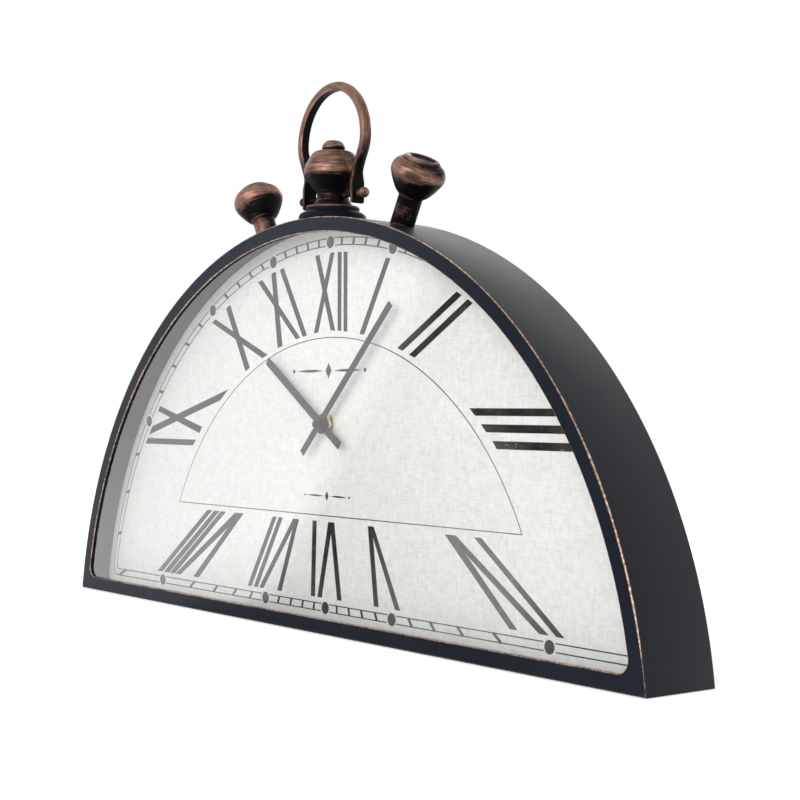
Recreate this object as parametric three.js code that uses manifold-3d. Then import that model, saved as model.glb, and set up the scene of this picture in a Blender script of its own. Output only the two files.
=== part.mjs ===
// Table clock with a half-round steel case, a carrying bow on its crown and two ornamental buttons.
// Millimetres, +Z up. The origin is the middle of the base and the dial faces -Y.

import * as THREE from 'three';
import { mergeVertices } from 'three/addons/utils/BufferGeometryUtils.js';
import Module from 'manifold-3d';

const wasm = await Module();
wasm.setup();

// Case
const CASE_WIDTH = 480;
const CASE_HEIGHT = 212.5;
const CASE_DEPTH = 42;
const SHEET = 1.2; // steel sheet of the band, base, bezel, rear frame and back panel
const FIT = 0.3; // gap left between pieces that seat on each other
const BEZEL_WIDTH = 7.8;
const BEZEL_CORNER = 6;
const REAR_FRAME_WIDTH = 14;
const PANEL_SETBACK = 1.7; // from the rear rim to the back panel
const ACCESS_MARGIN = 17; // between the movement and the edge of the access opening
const ACCESS_CORNER = 5;

// Back screws
const BACK_SCREW_RADIUS = 1.4;
const BACK_SCREW_HEAD = 3;
const BACK_SCREW_HEAD_HEIGHT = 1.2;
const BACK_SCREW_ROUND = 0.8;
const BACK_SCREW_REACH = 3; // length ahead of the rear frame
const UPPER_SCREW_ANGLE = 40; // degrees above the horizon, seen from the arc's centre
const LOWER_SCREW_SPREAD = 300;

// Glass, lining and dial
const GLASS_THICKNESS = 2;
const LINING_WALL = 0.85;
const LINING_LENGTH = 12.7;
const PAPER_THICKNESS = 0.3;
const BOARD_THICKNESS = 3;
const DIAL_CENTRE = 106; // height of the hands' arbor

// Clips behind the dial board
const CLIP_SHEET = 1;
const CLIP_WIDTH = 14;
const CLIP_TOE = 12;
const CLIP_WALL = 13;
const UPPER_CLIP_ANGLE = 50;
const LOWER_CLIP_SPREAD = 220;

// Crown, bow and buttons: they stand on the band's top line
const TOP_LINE = 18; // behind the front face
const RETAINER_THICKNESS = 0.5;
const RETAINER_RIM = 2.5; // width of the ring round the spigot
const SPIGOT_END = 0.15; // length of a spigot past its retainer
const CROWN_SPIGOT = 3;
const FLANGE_RADIUS = 17.8;
const FLANGE_HEIGHT = 4.3;
const STEP_RADIUS = 14.1;
const STEP_HEIGHT = 7.4;
const STEP_ROUND = 1;
const STEP_FILLET = 0.4;
const NECK_RADIUS = 10.3;
const WAIST_RADIUS = 8.3;
const WAIST_HEIGHT = 13.4;
const BULB_RADIUS = 15.2;
const BULB_HEIGHT = 25.8;
const SHOULDER_HEIGHT = 36.8;
const PIP_RADIUS = 6.1;
const PIP_GROOVE = 0.4;
const CROWN_HEIGHT = 42.4;

const PIN_HEIGHT = 12.3; // above the case
const PIN_RADIUS = 1.35;
const PIN_COLLAR_RADIUS = 2;
const PIN_COLLAR = 2.4;
const PIN_BALL = 2.8;
const NUT_BALL = 2.4;
const EAR_INSET = 9.8; // from the outside of a leg to the inner face of its ear
const EAR_WIDTH = 8;
const EAR_THICKNESS = 1.8;
const EAR_DROP = 5; // below the pin
const EAR_RISE = 9; // above the pin
const BOW_WIDTH = 60.6; // over the legs
const BOW_TOP = 72.8; // above the case
const BOW_SPRING = 42; // height where the legs turn into the arch
const BOW_BAND = 5.8;
const BOW_THICKNESS = 4.6;
const BOW_TURN = 8; // length over which an ear fills out to the half-round leg
const EAR_POWER = 0.12; // of the section's curve: near 0 is square, 1 is round
const BOW_POWER = 0.85;

const BUTTON_ANGLE = 14; // place on the arc, from the top, degrees
const BUTTON_LEAN = 26.5; // lean of the axis, degrees
const BUTTON_SPIGOT = 2.5;
const STEM_RADIUS = 6.1;
const STEM_LENGTH = 14.4;
const STEM_STUD = 3;
const STEM_STUD_LENGTH = 6;
const HEAD_LIP = 0.4; // of the head's foot past the stem
const HEAD_RADIUS = 13.7;
const HEAD_LENGTH = 20.2;
const HEAD_RING_RADIUS = 9.4;
const HEAD_RING_HEIGHT = 1.2;
const HEAD_DISH_RADIUS = 5.4;
const HEAD_DISH = 1.5;

// Clamping of the movement to the dial
const BUSH_RADIUS = 4;
const BUSH_BORE = 2.8;
const BUSH_COLLAR = 6;
const BUSH_COLLAR_THICKNESS = 0.6;
const BUSH_LIP = 0.6; // length of the bush past its nut
const NUT_ACROSS_FLATS = 9.6;
const NUT_THICKNESS = 2;
const WASHER_RADIUS = 6;
const WASHER_THICKNESS = 0.5;
const RUBBER_RADIUS = 14;
const RUBBER_THICKNESS = 1;

// Hands, standing at about seven past ten
const REST_MINUTE = 7.4;
const REST_HOUR = 10;
const HAND_SHEET = 0.5;
const HOUR_LENGTH = 61.4;
const HOUR_TAIL = 19.6;
const HOUR_WIDTH = 4.4;
const HOUR_BOSS = 4.2;
const MINUTE_LENGTH = 84;
const MINUTE_TAIL = 21.5;
const MINUTE_WIDTH = 3.7;
const MINUTE_BOSS = 2.6;
const PIPE_LIP = 0.6; // length of the hour pipe past its hand
const CAP_RADIUS = 2.4;
const CAP_LENGTH = 3.2;
const CAP_THREAD = 1.6;

// Movement
const GEAR_BAY_DROP = 10.5; // from the hands' arbor down to the gear bay's foot
const GEAR_BAY_RISE = 26.8; // and up to its top
const MOVEMENT_DEPTH = 15.4;
const MOVEMENT_WALL = 1.2;
const MOVEMENT_CORNER = 3;
const PLATE_THICKNESS = 0.6;
const PLATE_TOP = 14; // above the arbor
const WHEEL_THICKNESS = 1;
const WHEEL_SPACING = 0.7;
const END_SHAKE = 0.4; // between a wheel and the plate beside it
const PIVOT_RADIUS = 0.35;
const PIVOT_DEPTH = 0.7;
const PIPE_RADIUS = 2.5;
const PIPE_BORE = 1.7;
const ARBOR_RADIUS = 1.4;
const ARBOR_TIP = 1.1;

// Motion work: the cannon pinion, the intermediate wheel and pinion, the hour wheel and the setting pinion
const MOTION_DISTANCE = 8; // between arbors
const CANNON_TEETH = 10;
const INTERMEDIATE_TEETH = 30;
const INTERMEDIATE_PINION = 8;
const HOUR_TEETH = 32;
const SETTING_ANGLE = -48; // direction from the intermediate arbor, degrees
const SETTING_SHAFT = 1.2;
const SETTING_KNOB_RADIUS = 4.8;
const SETTING_KNOB_LENGTH = 2.5;
const SETTING_KNOB_FLUTES = 12;
const SETTING_KNOB_FLUTE_DEPTH = 0.35;

// Going train, from the centre wheel back to the rotor
const TRAIN_DISTANCE = 7.56; // centre to third, third to second, second to fifth
const ROTOR_DISTANCE = 5.4;
const TRAIN_PINION = 6;
const CENTRE_TEETH = 48;
const THIRD_TEETH = 45;
const SECOND_TEETH = 36;
const FIFTH_TEETH = 30;
const THIRD_ANGLE = 120;
const FIFTH_ANGLE = 200;
const ROTOR_ANGLE = 180;

// Teeth: heights in modules, half widths as shares of the pitch
const ADDENDUM = 0.85;
const DEDENDUM = 1.2;
const TOOTH_ROOT = 0.26;
const LEAF_ROOT = 0.22;
const LEAF_TIP = 0.08;

// Motor and circuit
const MAGNET_RADIUS = 2;
const MAGNET_GAP = 0.4;
const STATOR_BAR = 4;
const STATOR_SIDE_MARGIN = 2.8; // to the gear bay's side
const STATOR_FOOT_MARGIN = 3;
const STATOR_TOP_MARGIN = 4.3; // room for the coil
const STATOR_WIDTH = 30;
const STATOR_RETURN = 9.5; // lower edge of the bar that runs back to the rotor
const STATOR_RETURN_BAR = 3;
const STATOR_WEB = 1.6; // beside the rotor's hole
const COIL_WINDING = 1.6;
const COIL_CORNER = 1.2;
const COIL_LENGTH = 20;
const CIRCUIT_WIDTH = 20;
const CIRCUIT_HEIGHT = 17;
const CIRCUIT_THICKNESS = 1;
const CRYSTAL_RADIUS = 1;
const CRYSTAL_LENGTH = 6;

// Battery
const BATTERY_RADIUS = 7.25;
const BATTERY_LENGTH = 50.5;
const BATTERY_ROUND = 0.6;
const BATTERY_NUB_RADIUS = 2.75;
const BATTERY_NUB = 1;
const CONTACT_SPACE = 1.55; // between an end of the battery and the bay's wall
const CONTACT_SHEET = 0.35;
const CONTACT_WIDTH = 9;
const CONTACT_HEIGHT = 8;

const OVERCUT = 1; // length of a cutting piece past what it cuts

// Facets
const CASE_STEPS = 40;
const CORNER_STEPS = 4;
const TURNED_SIDES = 24;
const SMALL_SIDES = 12;
const SCREW_SIDES = 10;
const PIVOT_SIDES = 8;
const BALL_STEPS = 5;
const BOW_RINGS = 40;
const BOW_FACETS = 6;

// Places worked out from the driving dimensions

const caseRadius = (CASE_WIDTH ** 2 / 4 + CASE_HEIGHT ** 2) / (2 * CASE_HEIGHT);
const arcCentre = CASE_HEIGHT - caseRadius;
const wallInset = SHEET + FIT; // what fits inside the band
const liningInset = wallInset + RETAINER_THICKNESS + SPIGOT_END + FIT; // clear of the retainers

const frontFace = -CASE_DEPTH / 2;
const rearRim = CASE_DEPTH / 2;
const bezelBack = frontFace + SHEET;
const glassFront = bezelBack + FIT;
const glassBack = glassFront + GLASS_THICKNESS;
const liningFront = glassBack + FIT;
const liningBack = liningFront + LINING_LENGTH;
const paperFront = liningBack + FIT;
const boardFront = paperFront + PAPER_THICKNESS;
const boardBack = boardFront + BOARD_THICKNESS;
const panelBack = rearRim - PANEL_SETBACK;
const panelFront = panelBack - SHEET;
const rearFrameBack = panelFront - FIT;
const rearFrameFront = rearFrameBack - SHEET;

const rubberFront = boardBack + FIT;
const rubberBack = rubberFront + RUBBER_THICKNESS;
const movementFront = rubberBack + FIT;
const movementInside = movementFront + MOVEMENT_WALL;
const movementBack = movementFront + MOVEMENT_DEPTH;
const coverFront = movementBack - MOVEMENT_WALL;

const washerBack = paperFront - FIT;
const washerFront = washerBack - WASHER_THICKNESS;
const nutBack = washerFront - FIT;
const nutFront = nutBack - NUT_THICKNESS;
const bushFront = nutFront - BUSH_LIP;
const hourHandBack = bushFront - FIT;
const hourHandFront = hourHandBack - HAND_SHEET;
const pipeFront = hourHandFront - PIPE_LIP;
const minuteHandBack = pipeFront - FIT;
const minuteHandFront = minuteHandBack - HAND_SHEET;
const capBack = minuteHandFront - FIT;
const capFront = capBack - CAP_LENGTH;
const arborFront = capBack - CAP_THREAD;

// Each level of wheels fills the depth from its place here to one wheel's thickness behind it.
const wheelPitch = WHEEL_THICKNESS + WHEEL_SPACING;
const hourLevel = movementInside + END_SHAKE;
const motionLevel = hourLevel + wheelPitch;
const plateFront = motionLevel + WHEEL_THICKNESS + END_SHAKE;
const plateBack = plateFront + PLATE_THICKNESS;
const centreLevel = plateBack + END_SHAKE;
const thirdLevel = centreLevel + wheelPitch;
const secondLevel = thirdLevel + wheelPitch;
const fifthLevel = secondLevel + wheelPitch;

const radians = THREE.MathUtils.degToRad;
const polar = (distance, degrees) => {
  const angle = radians(degrees);
  return new THREE.Vector2(distance * Math.cos(angle), distance * Math.sin(angle));
};
const dialArbor = new THREE.Vector2();
const intermediateArbor = polar(MOTION_DISTANCE, 0);
const settingArbor = intermediateArbor.clone().add(polar(MOTION_DISTANCE, SETTING_ANGLE));
const thirdArbor = polar(TRAIN_DISTANCE, THIRD_ANGLE);
const fifthArbor = polar(TRAIN_DISTANCE, FIFTH_ANGLE);
const rotorArbor = fifthArbor.clone().add(polar(ROTOR_DISTANCE, ROTOR_ANGLE));

// The movement has a gear bay round the arbors and a battery bay below it.
const bayHalf = BATTERY_LENGTH / 2 + CONTACT_SPACE;
const movementHalf = bayHalf + MOVEMENT_WALL;
const batteryTop = -GEAR_BAY_DROP - MOVEMENT_WALL;
const batteryAxis = batteryTop - FIT - BATTERY_RADIUS;
const batteryFoot = batteryAxis - BATTERY_RADIUS - FIT;
const movementFoot = batteryFoot - MOVEMENT_WALL;
const movementTop = GEAR_BAY_RISE + MOVEMENT_WALL;

const pivotHole = PIVOT_RADIUS + FIT;
const topLine = frontFace + TOP_LINE;
const pinHole = PIN_RADIUS + FIT;

// Materials

const paint = (color, roughness, metalness) => (
  new THREE.MeshStandardMaterial({ color, roughness, metalness })
);
const BLACK_STEEL = paint(0x2b2d33, 0.45, 0.6);
const BRONZE = paint(0x6b4a3c, 0.35, 0.9);
const DARK_BRONZE = paint(0x241d1b, 0.45, 0.8);
const GLASS = new THREE.MeshStandardMaterial({
  color: 0xdfe6e6, roughness: 0.05, metalness: 0, transparent: true, opacity: 0.2,
});
const LINING = paint(0x3a3a3c, 0.7, 0);
const PAPER = paint(0xebece6, 0.85, 0);
const FIBREBOARD = paint(0x8a6f50, 0.9, 0);
const HAND_BLACK = paint(0x151517, 0.5, 0.3);
const BRASS = paint(0xc9a557, 0.3, 1);
const ZINC = paint(0xa9abad, 0.4, 0.9);
const BLACK_PLASTIC = paint(0x1d1d1f, 0.6, 0);
const RUBBER = paint(0x1a1a1a, 0.9, 0);
const WHITE_PLASTIC = paint(0xe4e1d6, 0.5, 0);
const MAGNET = paint(0x55565a, 0.4, 0.6);
const COPPER = paint(0xb0653a, 0.4, 0.9);
const CIRCUIT = paint(0x1f5a35, 0.6, 0);
const CELL = paint(0x40454c, 0.35, 0.7);

// Shapes and solids

function arcPoints(x, z, radius, from, to, steps) {
  return Array.from({ length: steps + 1 }, (_, i) => {
    const angle = from + (to - from) * i / steps;
    return new THREE.Vector2(x + radius * Math.cos(angle), z + radius * Math.sin(angle));
  });
}

function circle(radius, sides, centre = new THREE.Vector2()) {
  return new THREE.Path(arcPoints(centre.x, centre.y, radius, 0, 2 * Math.PI, sides).slice(0, -1));
}

function roundedBox(left, bottom, right, top, corner) {
  const quarter = Math.PI / 2;
  return [
    ...arcPoints(right - corner, bottom + corner, corner, -quarter, 0, CORNER_STEPS),
    ...arcPoints(right - corner, top - corner, corner, 0, quarter, CORNER_STEPS),
    ...arcPoints(left + corner, top - corner, corner, quarter, 2 * quarter, CORNER_STEPS),
    ...arcPoints(left + corner, bottom + corner, corner, 2 * quarter, 3 * quarter, CORNER_STEPS),
  ];
}

const box = (left, bottom, right, top) => [
  new THREE.Vector2(left, bottom), new THREE.Vector2(right, bottom),
  new THREE.Vector2(right, top), new THREE.Vector2(left, top),
];

// The case's half-round outline, drawn in by an inset and cut off level at a foot height.
function caseArc(inset, foot) {
  const radius = caseRadius - inset;
  const start = Math.asin((foot - arcCentre) / radius);
  return arcPoints(0, arcCentre, radius, start, Math.PI - start, CASE_STEPS);
}

// The same outline with its two lower corners rounded.
function roundedCaseOutline(inset, foot, corner) {
  const radius = caseRadius - inset;
  const rise = foot + corner - arcCentre;
  const reach = Math.sqrt((radius - corner) ** 2 - rise ** 2);
  const meet = Math.atan2(rise, reach);
  return [
    ...arcPoints(reach, foot + corner, corner, -Math.PI / 2, meet, CORNER_STEPS),
    ...arcPoints(0, arcCentre, radius, meet, Math.PI - meet, CASE_STEPS).slice(1, -1),
    ...arcPoints(-reach, foot + corner, corner, Math.PI - meet, 3 * Math.PI / 2, CORNER_STEPS),
  ];
}

// Depth of the case's curve over a flat of this half width
const sag = (halfWidth) => caseRadius - Math.sqrt(caseRadius ** 2 - halfWidth ** 2);

// A flat piece drawn as seen from the front, in x and z, filling the depth from front to back.
function panel(shape, front, back) {
  const geometry = new THREE.ExtrudeGeometry(shape, { depth: 1, bevelEnabled: false });
  const place = geometry.attributes.position;
  for (let i = 0; i < place.count; i++) {
    place.setXYZ(i, place.getX(i), place.getZ(i) > 0.5 ? front : back, place.getY(i));
  }
  return geometry;
}

// A round piece about the Y axis: the profile gives radius and height along the axis.
function turned(profile, sides = TURNED_SIDES) {
  const points = profile.map(([radius, along]) => new THREE.Vector2(radius, along));
  return facingOut(new THREE.LatheGeometry(points, sides));
}

function rod(radius, from, to, sides = SMALL_SIDES) {
  return turned([[0, from], [radius, from], [radius, to], [0, to]], sides);
}

function tube(radius, bore, from, to, sides = SMALL_SIDES) {
  return turned([[bore, from], [radius, from], [radius, to], [bore, to], [bore, from]], sides);
}

function facingOut(geometry) {
  const place = geometry.attributes.position;
  const corner = [new THREE.Vector3(), new THREE.Vector3(), new THREE.Vector3()];
  const order = geometry.index.array;
  let volume = 0;
  for (let i = 0; i < order.length; i += 3) {
    corner.forEach((point, k) => point.fromBufferAttribute(place, order[i + k]));
    volume += corner[0].dot(corner[1].cross(corner[2]));
  }
  if (volume < 0) {
    order.reverse();
  }
  return geometry;
}

function toSolid(geometry) {
  const bare = geometry.clone();
  bare.deleteAttribute('normal');
  bare.deleteAttribute('uv');
  const merged = mergeVertices(bare);
  const order = merged.index.array;
  const triVerts = [];
  for (let i = 0; i < order.length; i += 3) {
    const triangle = order.slice(i, i + 3);
    if (new Set(triangle).size === 3) {
      triVerts.push(...triangle);
    }
  }
  return new wasm.Manifold(new wasm.Mesh({
    numProp: 3,
    vertProperties: merged.attributes.position.array.slice(0, 3 * merged.attributes.position.count),
    triVerts: new Uint32Array(triVerts),
  }));
}

function toGeometry(solid) {
  const mesh = solid.getMesh();
  const geometry = new THREE.BufferGeometry();
  geometry.setAttribute('position', new THREE.BufferAttribute(mesh.vertProperties.slice(), 3));
  geometry.setIndex(new THREE.BufferAttribute(mesh.triVerts.slice(), 1));
  return geometry;
}

const joined = (...pieces) => toGeometry(pieces.map(toSolid).reduce((whole, piece) => whole.add(piece)));

function cut(body, ...tools) {
  return toGeometry(tools.map(toSolid).reduce((whole, tool) => whole.subtract(tool), toSolid(body)));
}

// Turns a piece made about the Y axis to stand up along Z, or to lie along X.
const standing = (geometry) => geometry.rotateX(Math.PI / 2);
const lying = (geometry) => geometry.rotateZ(-Math.PI / 2);

const pairs = (points) => points.map((point) => [point.x, point.y]);

// Samples a smooth profile through a few points of radius and height.
function smooth(points, steps) {
  const line = new THREE.SplineCurve(points.map(([radius, height]) => new THREE.Vector2(radius, height)));
  return pairs(line.getPoints(steps));
}

// The rounded outer edge at the top of a turned profile
function roundedEdge(radius, height, round, steps) {
  return pairs(arcPoints(radius - round, height - round, round, 0, Math.PI / 2, steps));
}

const clock = new THREE.Group();

function add(name, material, geometry, place = new THREE.Vector3()) {
  const mesh = new THREE.Mesh(geometry, material);
  mesh.name = name;
  mesh.position.copy(place);
  clock.add(mesh);
  return mesh;
}

// Adds a piece made about an arbor of the movement.
function addOnArbor(name, material, geometry, arbor = dialArbor) {
  return add(name, material, geometry, new THREE.Vector3(arbor.x, 0, DIAL_CENTRE + arbor.y));
}

// Case

function buttonPlace(side) {
  const place = polar(caseRadius, 90 - BUTTON_ANGLE);
  return new THREE.Vector3(side * place.x, topLine, arcCentre + place.y);
}

// Moves a piece made about Z to a place on the top line and leans it over to one side.
function leanOver(geometry, place, degrees) {
  return geometry.rotateY(radians(degrees)).translate(place.x, place.y, place.z);
}

function caseBand() {
  const outline = [...caseArc(0, 0), ...caseArc(SHEET, 0).reverse()];
  const crownHole = rod(CROWN_SPIGOT + FIT, -SHEET - OVERCUT, OVERCUT);
  const holes = [leanOver(standing(crownHole), new THREE.Vector3(0, topLine, CASE_HEIGHT), 0)];
  for (const side of [-1, 1]) {
    const hole = rod(BUTTON_SPIGOT + FIT, -SHEET - OVERCUT, OVERCUT);
    holes.push(leanOver(standing(hole), buttonPlace(side), side * BUTTON_ANGLE));
  }
  return cut(panel(new THREE.Shape(outline), bezelBack, rearRim), ...holes);
}

function basePlate() {
  const innerRadius = caseRadius - SHEET;
  const reach = (height) => Math.sqrt(innerRadius ** 2 - (height - arcCentre) ** 2);
  const half = Math.min(reach(0), reach(SHEET)) - FIT;
  return panel(new THREE.Shape(box(-half, 0, half, SHEET)), bezelBack, rearRim);
}

function frontBezel() {
  const shape = new THREE.Shape(caseArc(0, 0));
  shape.holes.push(new THREE.Path(roundedCaseOutline(BEZEL_WIDTH, BEZEL_WIDTH, BEZEL_CORNER)));
  return panel(shape, frontFace, bezelBack);
}

const screwRing = caseRadius - wallInset - REAR_FRAME_WIDTH / 2;
const upperScrew = polar(screwRing, UPPER_SCREW_ANGLE).add(new THREE.Vector2(0, arcCentre));
const lowerScrew = new THREE.Vector2(LOWER_SCREW_SPREAD / 2, wallInset + REAR_FRAME_WIDTH / 2);
const backScrews = [upperScrew, lowerScrew].flatMap((at) => [at, new THREE.Vector2(-at.x, at.y)]);
const screwHoles = () => backScrews.map((at) => circle(BACK_SCREW_RADIUS + FIT, PIVOT_SIDES, at));

function rearFrame() {
  const inner = wallInset + REAR_FRAME_WIDTH;
  const shape = new THREE.Shape(caseArc(wallInset, wallInset));
  shape.holes.push(new THREE.Path(caseArc(inner, inner)), ...screwHoles());
  return panel(shape, rearFrameFront, rearFrameBack);
}

function backPanel() {
  const half = movementHalf + ACCESS_MARGIN;
  const foot = DIAL_CENTRE + movementFoot - ACCESS_MARGIN;
  const top = DIAL_CENTRE + movementTop + ACCESS_MARGIN;
  const access = roundedBox(-half, foot, half, top, ACCESS_CORNER);
  const shape = new THREE.Shape(caseArc(wallInset, wallInset));
  shape.holes.push(new THREE.Path(access), ...screwHoles());
  return panel(shape, panelFront, panelBack);
}

function backScrew() {
  const seat = panelBack + FIT;
  const crest = seat + BACK_SCREW_HEAD_HEIGHT;
  const tip = rearFrameFront - BACK_SCREW_REACH;
  return turned([
    [0, tip], [BACK_SCREW_RADIUS, tip], [BACK_SCREW_RADIUS, seat], [BACK_SCREW_HEAD, seat],
    [BACK_SCREW_HEAD, crest - BACK_SCREW_ROUND], [BACK_SCREW_HEAD - BACK_SCREW_ROUND, crest], [0, crest],
  ], SCREW_SIDES);
}

// An angle clip: its outer face lies on the wall at x = 0 and its toe lies behind the dial board.
function dialClip() {
  const toe = boardBack + FIT;
  const shape = new THREE.Shape([
    new THREE.Vector2(0, toe), new THREE.Vector2(0, toe + CLIP_WALL),
    new THREE.Vector2(-CLIP_SHEET, toe + CLIP_WALL), new THREE.Vector2(-CLIP_SHEET, toe + CLIP_SHEET),
    new THREE.Vector2(-CLIP_TOE, toe + CLIP_SHEET), new THREE.Vector2(-CLIP_TOE, toe),
  ]);
  const geometry = new THREE.ExtrudeGeometry(shape, { depth: CLIP_WIDTH, bevelEnabled: false });
  return geometry.translate(0, 0, -CLIP_WIDTH / 2);
}

function addCase() {
  add('case_band', BLACK_STEEL, caseBand());
  add('base_plate', BLACK_STEEL, basePlate());
  add('front_bezel', BLACK_STEEL, frontBezel());
  add('rear_frame', BLACK_STEEL, rearFrame());
  add('back_panel', BLACK_STEEL, backPanel());
  backScrews.forEach((place, i) => {
    add(`back_screw_${i + 1}`, ZINC, backScrew(), new THREE.Vector3(place.x, 0, place.y));
  });
  const wall = caseRadius - wallInset - sag(CLIP_WIDTH / 2);
  [UPPER_CLIP_ANGLE, 180 - UPPER_CLIP_ANGLE].forEach((angle, i) => {
    const at = polar(wall, angle);
    const clip = add(`dial_clip_${i + 1}`, ZINC, dialClip(), new THREE.Vector3(at.x, 0, arcCentre + at.y));
    clip.rotation.y = -radians(angle);
  });
  [1, -1].forEach((side, i) => {
    const place = new THREE.Vector3(side * LOWER_CLIP_SPREAD / 2, 0, wallInset);
    add(`dial_clip_${i + 3}`, ZINC, dialClip(), place).rotation.y = Math.PI / 2;
  });
}

// Glass, lining and dial

function dialSheet(front, back) {
  const shape = new THREE.Shape(caseArc(liningInset, wallInset));
  shape.holes.push(circle(BUSH_RADIUS + FIT, SMALL_SIDES, new THREE.Vector2(0, DIAL_CENTRE)));
  return panel(shape, front, back);
}

function dialSpacer() {
  const inner = liningInset + LINING_WALL;
  const shape = new THREE.Shape(caseArc(liningInset, wallInset));
  shape.holes.push(new THREE.Path(roundedCaseOutline(inner, wallInset + LINING_WALL, BEZEL_CORNER)));
  return panel(shape, liningFront, liningBack);
}

function addDial() {
  add('glass_pane', GLASS, panel(new THREE.Shape(caseArc(wallInset, wallInset)), glassFront, glassBack));
  add('dial_spacer', LINING, dialSpacer());
  add('dial_paper', PAPER, dialSheet(paperFront, boardFront));
  add('dial_board', FIBREBOARD, dialSheet(boardFront, boardBack));
}

// Crown and bow

// What stands on the band is hollowed underneath to the case's curve.
const caseCurve = () => panel(new THREE.Shape(caseArc(-FIT, 0)), frontFace, rearRim);

const onTop = (geometry) => leanOver(standing(geometry), new THREE.Vector3(0, topLine, CASE_HEIGHT), 0);

function crownFlange() {
  const bore = CROWN_SPIGOT + FIT;
  const skirt = -sag(FLANGE_RADIUS) - FIT;
  const edge = FLANGE_RADIUS - STEP_RADIUS;
  const ring = turned([
    [bore, skirt], [FLANGE_RADIUS, skirt],
    ...smooth([
      [FLANGE_RADIUS, FLANGE_HEIGHT * 0.25], [FLANGE_RADIUS - edge * 0.2, FLANGE_HEIGHT * 0.7],
      [STEP_RADIUS + edge * 0.25, FLANGE_HEIGHT],
    ], 3),
    [STEP_RADIUS, FLANGE_HEIGHT + STEP_FILLET],
    ...roundedEdge(STEP_RADIUS, STEP_HEIGHT, STEP_ROUND, 2),
    [bore, STEP_HEIGHT], [bore, skirt],
  ]);
  return cut(onTop(ring), caseCurve());
}

// Depth of a spigot's end below the band's outer face
const spigotDepth = wallInset + RETAINER_THICKNESS + SPIGOT_END;

function pinBore(reach) {
  return lying(rod(pinHole, -reach, reach)).translate(0, topLine, CASE_HEIGHT + PIN_HEIGHT);
}

function crownKnob() {
  const seat = STEP_HEIGHT + FIT;
  const groove = SHOULDER_HEIGHT + PIP_GROOVE;
  const pipTop = CROWN_HEIGHT - groove;
  const below = (share) => THREE.MathUtils.lerp(WAIST_HEIGHT, BULB_HEIGHT, share);
  const above = (share) => THREE.MathUtils.lerp(BULB_HEIGHT, SHOULDER_HEIGHT, share);
  const body = turned([
    [0, -spigotDepth], [CROWN_SPIGOT, -spigotDepth], [CROWN_SPIGOT, seat], [NECK_RADIUS, seat],
    ...smooth([
      [NECK_RADIUS * 0.97, THREE.MathUtils.lerp(seat, WAIST_HEIGHT, 0.15)], [WAIST_RADIUS, WAIST_HEIGHT],
      [BULB_RADIUS * 0.79, below(0.45)], [BULB_RADIUS * 0.96, below(0.73)], [BULB_RADIUS, BULB_HEIGHT],
      [BULB_RADIUS * 0.92, above(0.4)], [BULB_RADIUS * 0.69, above(0.87)], [PIP_RADIUS, SHOULDER_HEIGHT],
    ], 12),
    [PIP_RADIUS - PIP_GROOVE, groove],
    ...smooth([
      [PIP_RADIUS, groove + pipTop * 0.12], [PIP_RADIUS * 0.9, groove + pipTop * 0.5],
      [PIP_RADIUS * 0.6, groove + pipTop * 0.84], [0, CROWN_HEIGHT],
    ], 3),
  ]);
  return cut(onTop(body), pinBore(BULB_RADIUS));
}

const retainer = (spigot) => {
  const top = -wallInset - sag(spigot + RETAINER_RIM);
  return tube(spigot + RETAINER_RIM, spigot + FIT, top - RETAINER_THICKNESS, top);
};

const earPlace = BOW_WIDTH / 2 - EAR_INSET + EAR_THICKNESS / 2;

// Middle line of the bow from the foot of one ear over the top to the other, in x and z above the case.
function bowLine() {
  const foot = PIN_HEIGHT - EAR_DROP;
  const bend = PIN_HEIGHT + EAR_RISE;
  const leg = (BOW_WIDTH - BOW_THICKNESS) / 2;
  const rise = BOW_SPRING - bend;
  const line = new THREE.Path();
  line.moveTo(-earPlace, foot);
  line.lineTo(-earPlace, bend);
  line.bezierCurveTo(-earPlace, bend + rise * 0.35, -leg, BOW_SPRING - rise * 0.4, -leg, BOW_SPRING);
  line.absellipse(0, BOW_SPRING, leg, BOW_TOP - BOW_THICKNESS / 2 - BOW_SPRING, Math.PI, 0, true);
  line.bezierCurveTo(leg, BOW_SPRING - rise * 0.4, earPlace, bend + rise * 0.35, earPlace, bend);
  line.lineTo(earPlace, foot);
  return line;
}

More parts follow.
